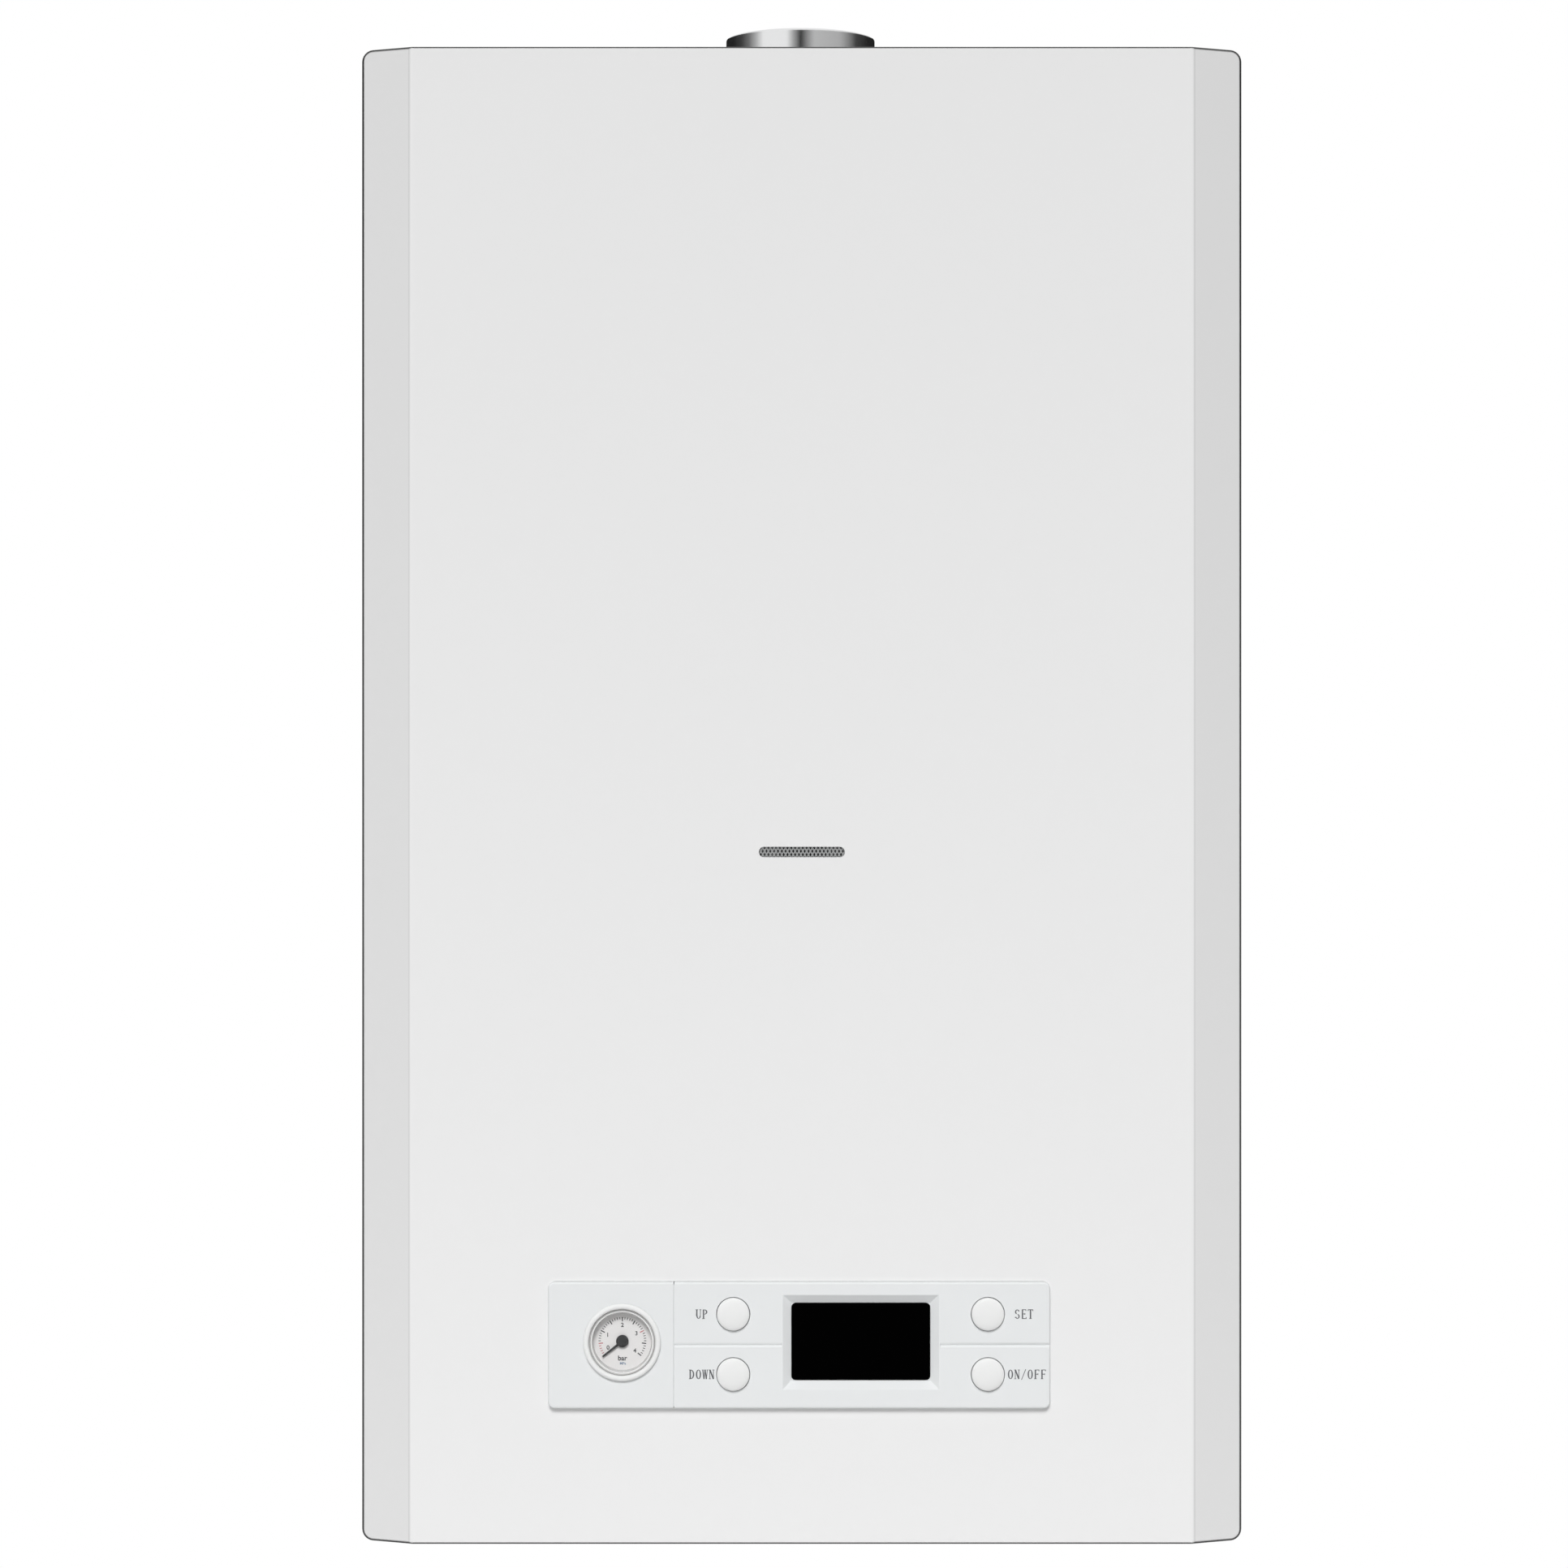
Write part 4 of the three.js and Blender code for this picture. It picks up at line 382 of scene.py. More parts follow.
def casing_finishes(colours):
    # The facets' enamel is the white enamel darkened by the facet factor: painted shade for the slanted strips, which
    # carry the same paint as the front.
    painted_shade_colour = [part * FACET_PAINTED_SHADE for part in colours.enamel]
    for name, enamel in (("white_enamel", colours.enamel), ("facet_enamel", painted_shade_colour)):
        finish(name, enamel, 0.42, scale=500, variation=0.012, unevenness=0.08, bump=0.12)
    finish("white_plastic", colours.panel, 0.48, scale=1500, variation=0.015, bump=0.2)
    finish("key_plastic", colours.keys, 0.32, variation=0.012, bump=0.05)
    finish("dial_paper", colours.dial, 0.6, scale=2500, variation=0.04)
    finish("grey_plastic", (0.33, 0.34, 0.35), 0.55, scale=1800, variation=0.15, bump=0.3)
    finish("black_plastic", (0.012, 0.012, 0.013), 0.42, scale=1800, variation=0.3, bump=0.25)
    finish("black_glass", (0.0002, 0.0002, 0.0002), 0.25, variation=0.2, bump=0.0,
           Specular_IOR_Level=0.006)
    finish("clear_glass", (0.97, 0.98, 0.98), 0.02, variation=0.01, unevenness=0.01, bump=0.0,
           Transmission_Weight=1.0, IOR=1.2)
    finish("print_grey", colours.print_grey, 0.55, variation=0.25)
    for name, ink in (("black", (0.035, 0.035, 0.04)), ("red", colours.print_red), ("blue", colours.print_blue)):
        finish(f"print_{name}", ink, 0.5, variation=0.2)
    finish("gauge_ring", (0.56, 0.555, 0.55), 0.22, variation=0.08)


def metal_finishes(colours):
    finish("flange_steel", colours.zinc, 0.36, 0.8, "spangle", scale=150, variation=0.1)
    finish("polished_steel", colours.steel, 0.12, 1.0, "drawn_metal", scale=20, variation=0.1, bump=0.03,
           stretch=(3, 3, 130))
    finish("mesh_steel", (0.36, 0.37, 0.37), 0.35, 0.6, "drawn_metal", variation=0.2)
    finish("galvanised", colours.zinc, 0.42, 0.8, "spangle", scale=150, variation=0.13, unevenness=0.12, bump=0.08)
    finish("aluminised", colours.aluminised, 0.48, 1.0, "spangle", scale=300, variation=0.2, unevenness=0.16,
           bump=0.1)
    finish("copper", colours.copper, 0.3, 1.0, "drawn_metal", scale=60, variation=0.4, unevenness=0.2, bump=0.05,
           stretch=(2, 15, 2))
    finish("brass", colours.brass, 0.34, 1.0, "drawn_metal", scale=500, variation=0.28, unevenness=0.16, bump=0.12)
    finish("cast_metal", colours.cast, 0.55, 0.85, scale=1100, variation=0.3, unevenness=0.2, bump=0.6,
           bump_depth=0.06 * MM)


def other_finishes(colours):
    for name, shade in (("red_plastic", colours.red), ("blue_plastic", colours.blue)):
        finish(name, shade, 0.38, scale=1500, variation=0.1, bump=0.2)
    finish("red_enamel", colours.red, 0.35, scale=450, variation=0.14, bump=0.15)
    finish("rubber", (0.028, 0.028, 0.03), 0.8, scale=2200, variation=0.3, bump=0.5)
    finish("ceramic", (0.8, 0.78, 0.71), 0.25, scale=700, variation=0.08)
    finish("board_green", colours.board, 0.35, 0.0, "tracks", scale=230, variation=0.55, bump=0.3)


# ---- pieces

def linked(name, data):
    """A new object of the scene."""
    piece = bpy.data.objects.new(name, data)
    bpy.context.scene.collection.objects.link(piece)
    return piece


def mesh_of(name, form):
    mesh = bpy.data.meshes.new(name)
    form.to_mesh(mesh)
    form.free()
    return mesh


def add_piece(name, form, finish_name, node, replaced=(), angle=SMOOTH_ANGLE):
    """A finished piece that rides with node's body and takes its finish slot."""
    return place_piece(name, mesh_of(name, form), finish_name, node, replaced, angle)


def place_piece(name, mesh, finish_name, node, replaced=(), angle=SMOOTH_ANGLE):
    old_normals = mesh.attributes.get("custom_normal")
    if old_normals:
        mesh.attributes.remove(old_normals)
    mesh.shade_smooth()
    mesh.set_sharp_from_angle(angle=angle)
    mesh.materials.clear()
    mesh.materials.append(finish_of(finish_name))
    piece = linked(name, mesh)
    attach(piece, frame["nodes"][node]["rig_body"])
    if replaced:
        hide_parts(*replaced)
    return piece


def modify(piece, name, kind, **settings):
    """Adds a modifier with its settings."""
    modifier = piece.modifiers.new(name, kind)
    for setting, value in settings.items():
        setattr(modifier, setting, value)


def even_normals(piece):
    """Keeps large flat faces flat beside their rounded edges."""
    modify(piece, "flat_faces", "WEIGHTED_NORMAL", keep_sharp=True)


def soften(piece, width, segments=2):
    """Rounds a piece's sharp edges."""
    modify(piece, "edges", "BEVEL", width=width, segments=segments, limit_method="ANGLE",
           angle_limit=SMOOTH_ANGLE)
    even_normals(piece)


def merged(form):
    """The form with its doubled vertices joined."""
    bmesh.ops.remove_doubles(form, verts=form.verts, dist=MERGE)
    return form


def form_of(mesh):
    form = bmesh.new()
    form.from_mesh(mesh)
    return merged(form)


def merged_copy(node):
    """A CAD node's shape with its triangles joined into faces."""
    form = form_of(frame["nodes"][node].data)
    bmesh.ops.dissolve_limit(form, angle_limit=FLAT_ANGLE, verts=form.verts, edges=form.edges)
    return form


def add_softened(node, kind, width):
    """A piece with a CAD node's own shape and rounded edges."""
    soften(add_piece(f"{node}_{kind}", merged_copy(node), SLOTS[node], node, [node]), width)


def slab(low, high):
    """A box from its low to its high corner."""
    form = bmesh.new()
    size = Vector(high) - Vector(low)
    middle = (Vector(high) + Vector(low)) / 2
    bmesh.ops.create_cube(form, size=1, matrix=Matrix.Translation(middle) @ Matrix.Diagonal((*size, 1)))
    return form


def edges_along(form, axis):
    """The edges that run along one axis."""
    return [edge for edge in form.edges
            if abs((edge.verts[0].co - edge.verts[1].co).normalized()[axis]) > ALONG]


def round_edges(form, edges, radius, segments):
    bmesh.ops.bevel(form, geom=edges, offset=radius, offset_type="OFFSET", segments=segments, profile=0.5,
                    affect="EDGES", material=-1, clamp_overlap=True)


def turned(profile, steps=TURN_STEPS, closed=False):
    """A profile of (radius, height) points turned about Z; closed joins its last point to its first."""
    form = bmesh.new()
    points = [form.verts.new((radius, 0, height)) for radius, height in profile]
    edges = [form.edges.new(pair) for pair in zip(points, points[1:])]
    if closed:
        edges.append(form.edges.new((points[-1], points[0])))
    bmesh.ops.spin(form, geom=points + edges, cent=(0, 0, 0), axis=(0, 0, 1), angle=2 * math.pi, steps=steps,
                   use_merge=True)
    bmesh.ops.recalc_face_normals(merged(form), faces=form.faces)
    return form


def moved(form, *steps):
    """The form after each transform in turn."""
    for step in steps:
        bmesh.ops.transform(form, matrix=step, verts=form.verts)
    return form


def joined(*forms):
    """Several forms in one."""
    whole = bmesh.new()
    for form in forms:
        part = mesh_of("part", form)
        whole.from_mesh(part)
        bpy.data.meshes.remove(part)
    return whole


def arc(centre, radius, start, end, steps=6):
    """Points (radius, height) on a circle arc, angles in degrees."""
    angles = [math.radians(start + (end - start) * step / steps) for step in range(steps + 1)]
    return [(centre[0] + radius * math.cos(a), centre[1] + radius * math.sin(a)) for a in angles]


def outline(half_x, half_y, corner, steps=16):
    """Points round a rectangle with round corners; a corner as large as the halves gives a circle."""
    points = []
    for quarter, (side_x, side_y) in enumerate(((1, 1), (-1, 1), (-1, -1), (1, -1))):
        for step in range(steps + 1):
            angle = math.pi / 2 * (quarter + step / steps)
            points.append((side_x * (half_x - corner) + corner * math.cos(angle),
                           side_y * (half_y - corner) + corner * math.sin(angle)))
    return points


def plate_between(outer, inner, low, high):
    """A flat plate from height low to high between two outlines with as many points."""
    form = bmesh.new()
    rings = [[form.verts.new((x, y, height)) for x, y in points]
             for points, height in ((outer, low), (outer, high), (inner, high), (inner, low))]
    for ring, following in zip(rings, rings[1:] + rings[:1]):
        for index in range(len(ring)):
            nearby = (index + 1) % len(ring)
            form.faces.new((ring[index], ring[nearby], following[nearby], following[index]))
    bmesh.ops.recalc_face_normals(merged(form), faces=form.faces)
    return form


def middle_of(node):
    low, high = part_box(node)
    return (low + high) / 2


def above(node):
    """The move from the origin to a node's middle, level."""
    centre = middle_of(node)
    return Matrix.Translation((centre.x, centre.y, 0))


def panel_face():
    """Where the control panel's face is, along Y."""
    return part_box("gauge_panel")[0].y


def on_panel(node):
    """The move from the origin to a node's middle on the panel's face."""
    centre = middle_of(node)
    return Matrix.Translation((centre.x, panel_face(), centre.z))


# ---- casing

def cover_form(sizes):
    """The folded cover, open at the back: box, facets, round corners, then folded edges."""
    low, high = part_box("front_cover")
    form = slab(low, high)
    rear = [face for face in form.faces if face.normal.y > FACING]
    bmesh.ops.delete(form, geom=rear, context="FACES_ONLY")
    for side, outer in ((-1, low.x), (1, high.x)):
        front = [face for face in form.faces if face.normal.y < -FACING]
        around = {edge for face in front for edge in face.edges} | {v for face in front for v in face.verts}
        bmesh.ops.bisect_plane(form, geom=front + list(around), dist=MERGE, plane_no=(1, 0, 0),
                               plane_co=(outer - side * sizes.facet_width, 0, 0))
    corners = [v for v in form.verts if v.co.y < low.y + MERGE and min(v.co.x - low.x, high.x - v.co.x) < MERGE]
    bmesh.ops.translate(form, verts=corners, vec=(0, sizes.facet_depth, 0))
    long_edges = [edge for edge in edges_along(form, 1) if edge.calc_length() > sizes.facet_width]
    round_edges(form, long_edges, sizes.corner, CORNER_SEGMENTS)
    folds = [edge for edge in form.edges if len(edge.link_faces) == 2 and edge.calc_face_angle() > FOLD_ANGLE]
    round_edges(form, folds, sizes.edge, FOLD_SEGMENTS)
    return form


def opening_cutter(name, low, high, corner):
    """A round-cornered bar through the cover's face, as a throw-away object."""
    form = slab(low, high)
    round_edges(form, edges_along(form, 1), corner, OPENING_SEGMENTS)
    return linked(name, mesh_of(name, form))


def cover_cutters(sizes):
    """Bars through the openings for the panel and the sight slot."""
    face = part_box("front_cover")[0].y
    through = Vector((0, 2 * sizes.sheet, 0))
    gap = Vector((sizes.panel_gap, 0, sizes.panel_gap))
    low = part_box("gauge_panel")[0] - gap
    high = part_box("control_fascia")[1] + gap
    grille = middle_of("sight_grille")
    slot_half = Vector((sizes.slot_width / 2, 0, sizes.slot_height / 2))
    low.y = high.y = grille.y = face
    return [opening_cutter("panel_cutter", low - through, high + through, sizes.panel_corner),
            opening_cutter("slot_cutter", grille - slot_half - through, grille + slot_half + through,
                           sizes.slot_height * SLOT_ROUND)]


def fold_painted_shade_finish():
    """The cover's enamel on its folds, which turn dark where they are seen almost edge on: a painted dark edge,
    painted shade in the base colour.
    """
    material = finish_of("white_enamel").copy()
    material.name = "fold_enamel_finish"
    tree = material.node_tree
    base = tree.nodes["Principled BSDF"].inputs["Base Color"]
    # Painted shade: the base colour goes towards black as the fold turns edge on to the view.
    facing = add_node(tree, "LayerWeight", {"Blend": 0.5})
    edge_on = add_node(tree, "MapRange", {
        "Value": facing.outputs["Facing"], "From Min": FOLD_UNSHADED_FACING, "From Max": FOLD_PAINTED_DARK_FACING})
    tree.links.new(tint(tree, base.links[0].from_socket, BLACK, edge_on.outputs["Result"]), base)
    return material


def make_cover(sizes):
    blank = linked("cover_blank", mesh_of("cover_blank", cover_form(sizes)))
    modify(blank, "wall", "SOLIDIFY", thickness=sizes.sheet, offset=-1, use_even_offset=True)
    cutters = cover_cutters(sizes)
    for cutter in cutters:
        modify(blank, cutter.name, "BOOLEAN", operation="DIFFERENCE", solver="EXACT", object=cutter)
    shaped = bpy.data.meshes.new_from_object(blank.evaluated_get(bpy.context.evaluated_depsgraph_get()))
    shaped.name = "casing_cover"
    for spare in [blank, *cutters]:
        bpy.data.objects.remove(spare)
    cover = place_piece("casing_cover", shaped, "white_enamel", "front_cover", ["front_cover"],
                        COVER_SMOOTH_ANGLE)
    cover.data.materials.append(finish_of("facet_enamel"))
    cover.data.materials.append(fold_painted_shade_finish())
    # Slot 1, the facets, takes the enamel darkened as painted shade; slot 2, the folds, takes the enamel with painted
    # dark edges.
    slant = Vector((sizes.facet_depth, -sizes.facet_width)).normalized()
    for face in cover.data.polygons:
        off_slant = max(abs(abs(face.normal.x) - slant.x), abs(abs(face.normal.y) - abs(slant.y)))
        if off_slant < SLANT_TOLERANCE:
            face.material_index = 1
        elif max(abs(part) for part in face.normal) < FLAT_SHARE and face.normal.y < 0:
            face.material_index = 2
    even_normals(cover)


def make_sheets(sizes):
    """The casing's fixed sheets, their edges slightly rounded."""
    for node in ("left_side_panel", "right_side_panel", "top_panel", "bottom_plate"):
        add_softened(node, "sheet", sizes.soft_edge / 2)


# ---- flue

def rolled_duct(radius, wall, bead, low, high):
    """A duct with a rolled bead round its upper rim."""
    centre = (radius - bead, high - bead)
    rim = arc(centre, bead, 0, 180, BEAD_STEPS)
    foot = high - 3 * bead
    return turned([(radius - wall, low), (radius, low), (radius, foot), *rim, (radius - wall, high - 2 * bead),
                   (radius - wall, foot)], closed=True)


def exhaust_form(sizes):
    """The exhaust duct with the four tabs that keep it in the middle of the collar."""
    low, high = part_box("exhaust_duct")
    duct = rolled_duct(sizes.exhaust, sizes.wall, sizes.bead, low.z, high.z)
    reach = sizes.collar - sizes.wall - TAB_GAP
    tabs = [
        moved(slab((sizes.exhaust - TAB_OVERLAP, -TAB_WIDTH / 2, low.z),
                   (reach, TAB_WIDTH / 2, low.z + sizes.spacer)),
              Matrix.Rotation((quarter + 0.5) * math.pi / 2, 4, "Z"))
        for quarter in range(4)]
    return moved(joined(duct, *tabs), above("exhaust_duct"))


def make_flue(sizes):
    low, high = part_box("flue_collar")
    place = above("flue_collar")
    duct = rolled_duct(sizes.collar, sizes.wall, sizes.bead, low.z, high.z)
    add_piece("collar_duct", moved(duct, place), "polished_steel", "flue_collar", ["flue_collar"])
    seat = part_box("top_panel")[1].z + SEAT
    plate = plate_between(
        outline((high.x - low.x) / 2, (high.y - low.y) / 2, sizes.flange_corner),
        outline(sizes.collar, sizes.collar, sizes.collar), seat, seat + sizes.flange)
    flange = add_piece("collar_flange", moved(plate, place), "flange_steel", "flue_collar")
    soften(flange, FLANGE_EDGE)
    add_piece("inner_duct", exhaust_form(sizes), "polished_steel", "exhaust_duct", ["exhaust_duct"])


# ---- control panel

# Serif capitals as straight strokes (x0, z0, x1, z1, width) and bands round an ellipse
# (centre x, centre z, radius x, radius z, side width, top width, start, end), on a height of 1.
THICK = 0.15
THIN = 0.075
SERIF = 0.055
LETTER_PITCH = 0.71
LETTER_FIT = 0.67


def serifs(*places):
    """Short level strokes (centre, height, half width)."""
    return [(x - half, z, x + half, z, SERIF) for x, z, half in places]


# The strokes that E and F share.
ARMS = [(0.16, 0, 0.16, 1, THICK), (0.1, 0.975, 0.5, 0.975, THIN), (0.16, 0.52, 0.4, 0.52, THIN),
        (0.49, 0.84, 0.49, 1, THIN), (0.4, 0.43, 0.4, 0.61, THIN)]
GLYPHS = {
    "U": (0.62, [(0.14, 0.28, 0.14, 1, THICK), (0.5, 0.28, 0.5, 1, THIN)]
          + serifs((0.14, 0.98, 0.13), (0.5, 0.98, 0.1)),
          [(0.32, 0.3, 0.21, 0.3, THICK * 0.8, 0.07, 180, 360)]),
    "P": (0.6, [(0.15, 0, 0.15, 1, THICK)] + serifs((0.15, 0.02, 0.13)),
          [(0.24, 0.73, 0.28, 0.27, THICK, THIN, -90, 90)]),
    "D": (0.66, [(0.15, 0, 0.15, 1, THICK)] + serifs((0.12, 0.02, 0.11), (0.12, 0.98, 0.11)),
          [(0.22, 0.5, 0.36, 0.5, THICK, THIN, -90, 90)]),
    "O": (0.66, [], [(0.33, 0.5, 0.28, 0.51, THICK, THIN, 0, 360)]),
    "W": (0.76, [(0.1, 1, 0.25, 0, THICK * 0.8), (0.25, 0, 0.38, 1, THIN), (0.38, 1, 0.53, 0, THICK * 0.8),
                 (0.53, 0, 0.66, 1, THIN)] + serifs((0.1, 0.98, 0.1), (0.38, 0.98, 0.1), (0.66, 0.98, 0.09)), []),
    "N": (0.66, [(0.14, 0, 0.14, 1, THIN), (0.14, 1, 0.52, 0, THICK), (0.52, 0, 0.52, 1, THIN)]
          + serifs((0.12, 0.98, 0.1), (0.14, 0.02, 0.11), (0.52, 0.98, 0.11)), []),
    "S": (0.56, serifs((0.1, 0.14, 0.035), (0.44, 0.86, 0.035)),
          [(0.27, 0.74, 0.2, 0.26, THICK * 0.9, 0.08, 15, 255),
           (0.28, 0.26, 0.21, 0.26, THICK * 0.9, 0.08, -165, 85)]),
    "E": (0.6, ARMS + [(0.1, 0.025, 0.53, 0.025, THIN), (0.52, 0, 0.52, 0.17, THIN)], []),
    "F": (0.58, ARMS + serifs((0.16, 0.02, 0.12)), []),
    "T": (0.6, [(0.3, 0, 0.3, 1, THICK), (0.06, 0.975, 0.54, 0.975, THIN), (0.075, 0.83, 0.075, 1, THIN),
                (0.525, 0.83, 0.525, 1, THIN)] + serifs((0.3, 0.02, 0.13)), []),
    "/": (0.5, [(0.08, -0.08, 0.42, 1.06, THIN)], []),
}


def stroke(form, start_x, x0, z0, x1, z1, width):
    """A straight stroke as one flat face."""
    along = Vector((x1 - x0, 0, z1 - z0)).normalized() * width / 2
    side = Vector((along.z, 0, -along.x))
    first = Vector((start_x + x0, 0, z0))
    last = Vector((start_x + x1, 0, z1))
    corners = (first - side, last - side, last + side, first + side)
    form.faces.new([form.verts.new(corner) for corner in corners])


def band(form, start_x, centre_x, centre_z, radius_x, radius_z, side, top, start, end):
    """A stroke round part of an ellipse, as a strip."""
    steps = max(4, round(abs(end - start) / BAND_STEP))
    outer = []
    inner = []
    for step in range(steps + 1):
        angle = math.radians(start + (end - start) * step / steps)
        reach = Vector((math.cos(angle), 0, math.sin(angle)))
        centre = Vector((start_x + centre_x, 0, centre_z))
        outer.append(form.verts.new(centre + Vector((reach.x * radius_x, 0, reach.z * radius_z))))
        inner.append(form.verts.new(centre + Vector((reach.x * (radius_x - side), 0, reach.z * (radius_z - top)))))
    for step in range(steps):
        form.faces.new((inner[step], outer[step], outer[step + 1], inner[step + 1]))


def word_form(word, height, centre):
    """A printed word, centred on a point, as a thin raised print facing the front."""
    form = bmesh.new()
    start = 0
    for letter in word:
        advance, strokes, bands = GLYPHS[letter]
        fit = LETTER_FIT / advance
        for x0, z0, x1, z1, width in strokes:
            stroke(form, start, x0 * fit, z0, x1 * fit, z1, width)
        for centre_x, centre_z, radius_x, radius_z, side, top, first, last in bands:
            band(form, start, centre_x * fit, centre_z, radius_x * fit, radius_z, side, top, first, last)
        start += LETTER_PITCH
    scale = Matrix.Diagonal((height, height, height, 1))
    return print_on(moved(form, Matrix.Translation((-start / 2, 0, -0.5)), scale), centre)


def print_on(form, centre):
    """Gives flat print its thickness, towards the front, and puts it in place."""
    for face in form.faces:
        face.normal_update()
        if face.normal.y > 0:
            face.normal_flip()
    grown = bmesh.ops.extrude_face_region(form, geom=form.faces[:], use_keep_orig=True)["geom"]
    front = [item for item in grown if isinstance(item, bmesh.types.BMVert)]
    bmesh.ops.translate(form, verts=front, vec=(0, -PRINT, 0))
    bmesh.ops.recalc_face_normals(form, faces=form.faces)
    return moved(form, Matrix.Translation(centre))


def make_words(sizes):
    for node, word, side in (
            ("up_button", "UP", -sizes.left_words), ("down_button", "DOWN", -sizes.left_words),
            ("set_button", "SET", sizes.set_word), ("on_off_button", "ON/OFF", sizes.power_word)):
        form = word_form(word, sizes.cap_height, on_panel(node).translation + Vector((side, 0, 0)))
        add_piece(f"{node}_word", form, "print_grey", "control_fascia")


def round_rim(form, node, sizes):
    """Rounds the front edges along the panel's outline, not those along its seam."""
    low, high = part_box(node)
    outer_x = low.x if node == "gauge_panel" else high.x
    seam_x = high.x if node == "gauge_panel" else low.x

    def on_rim(edge):
        ends = [vert.co for vert in edge.verts]
        if any(end.y > low.y + MERGE for end in ends) or edge.calc_face_angle(0) < RIM_ANGLE:
            return False
        at_seam = all(abs(end.x - seam_x) < MERGE for end in ends)
        outside = all(min(abs(end.z - low.z), abs(end.z - high.z), abs(end.x - outer_x)) < sizes.panel_corner
                      for end in ends)
        return outside and not at_seam

    round_edges(form, [edge for edge in form.edges if on_rim(edge)], sizes.panel_edge, EDGE_STEPS)


def make_panel(sizes):
    for node in ("gauge_panel", "control_fascia"):
        form = merged_copy(node)
        round_rim(form, node, sizes)
        moulding = add_piece(f"{node}_moulding", form, "white_plastic", node, [node])
        soften(moulding, sizes.soft_edge, 3)
    left_low, left_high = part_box("gauge_panel")
    right_low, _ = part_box("control_fascia")
    lap = slab((left_high.x, left_low.y + sizes.seam_depth, left_low.z + sizes.panel_edge),
               (right_low.x, left_high.y, left_high.z - sizes.panel_edge))
    add_piece("panel_lap", lap, "white_plastic", "control_fascia")
    halves = (sizes.display_width / 2, sizes.display_height / 2)
    corners = plate_between(outline(*halves, SQUARE_CORNER), outline(*halves, sizes.display_corner), 0, LAP)
    window = middle_of("display_window")
    window.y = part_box("display_window")[0].y
    corners = moved(corners, TO_FRONT, Matrix.Translation(window))
    add_piece("display_corners", corners, "white_plastic", "control_fascia")
    screen = add_piece("display_screen", merged_copy("display_window"), "black_glass", "display_window",
                       ["display_window"])
    soften(screen, SCREEN_EDGE)


def key_form(sizes, node):
    """A key: domed cap, flange behind the panel, and stem."""
    low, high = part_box(node)
    top = panel_face() - low.y
    back = panel_face() - high.y
    dome = top - sizes.rim
    cap = []
    for step in range(DOME_STEPS):
        angle = step / DOME_STEPS * math.pi / 2
        cap.append((sizes.cap * math.cos(angle) ** DOME_POWER, sizes.rim + dome * math.sin(angle)))
    profile = [
        (0, back), (sizes.stem, back), (sizes.stem, -sizes.flange_back),
        (sizes.flange, -sizes.flange_back), (sizes.flange, -sizes.flange_front), (sizes.cap, -sizes.flange_front),
        *cap, (0, top),
    ]
    return moved(turned(profile), TO_FRONT, on_panel(node))


def make_keys(sizes):
    for node in ("up_button", "down_button", "set_button", "on_off_button"):
        add_piece(f"{node}_cap", key_form(sizes, node), "key_plastic", node, [node])


# ---- pressure gauge

# The scale runs clockwise from zero to full, angles in degrees from the right.
ZERO_ANGLE = 218
FULL_ANGLE = -38
FULL_VALUE = 4
TICKS = 41
TICKS_PER_LONG = 5
LAST_LOW_TICK = 5
LIMIT_TICK = 30
LONG_TICK_WIDTH = 0.52 * MM
SHORT_TICK_WIDTH = 0.36 * MM
# How far each number stands beside its tick, in degrees, from 0 to 4.
NUMBER_SHIFTS = (-13, 4, 0, 2, 0)
TEXT_SIZE = 1.38  # letter size over the height of a digit
BOLDER = 0.03
# The units on the dial: height, then place from its middle.
BAR_TEXT = (2.5 * MM, 0, -8.6 * MM)
MPA_TEXT = (1.3 * MM, 0.2 * MM, -11.2 * MM)
DIAL_BORE = 1.4 * MM
DIAL_THICKNESS = 0.8 * MM
DIAL_LAP = 0.5 * MM  # of the dial under the inner ring
WELL_ROOM = 0.6 * MM  # between the dial's rim and the case
WELL_FLOOR = 1 * MM  # from the dial's face to the case's floor
LIP_STEPS = 14
LENS_SEAT = 1.6  # from the ring's front to the lens's seat, over the lip's width
SLOPE_WIDTH = 0.55 * MM  # of the grey inner ring's foot on the dial
SLOPE_LIFT = 0.02 * MM
# The inner ring's other corners: how far inside the white ring (negative) or outside the dial (positive), and how
# far behind the ring's front, over the lip's width.
SLOPE_POINTS = ((-0.05 * MM, 1.5), (-0.5 * MM, 1.1), (0.3 * MM, 2.6))
LENS_THICKNESS = 0.9 * MM
LENS_LAP = 0.2 * MM
LENS_RISE = 0.5 * MM
LENS_DEPTH = 2 * MM  # from the ring's front to the lens's edge
LENS_STEPS = 8
ARBOR = 1 * MM
HUB_EDGE = 0.5 * MM
HUB_ARC = 80  # degrees of the hub's rounded edge
HAND_LIFT = 0.5 * MM  # of the hand's underside over the hub's
HAND_THICKNESS = 0.5 * MM
TIP_TAPER = 0.6


def add_to_gauge(name, form, finish_name, node, replaced=(), turn=TO_FRONT):
    """Adds a piece made about the gauge's middle, its face up, or facing the front where turn says so."""
    return add_piece(name, moved(form, turn, on_panel("gauge_case")), finish_name, node, replaced)


def scale_angle(share):
    return math.radians(ZERO_ANGLE + (FULL_ANGLE - ZERO_ANGLE) * share)


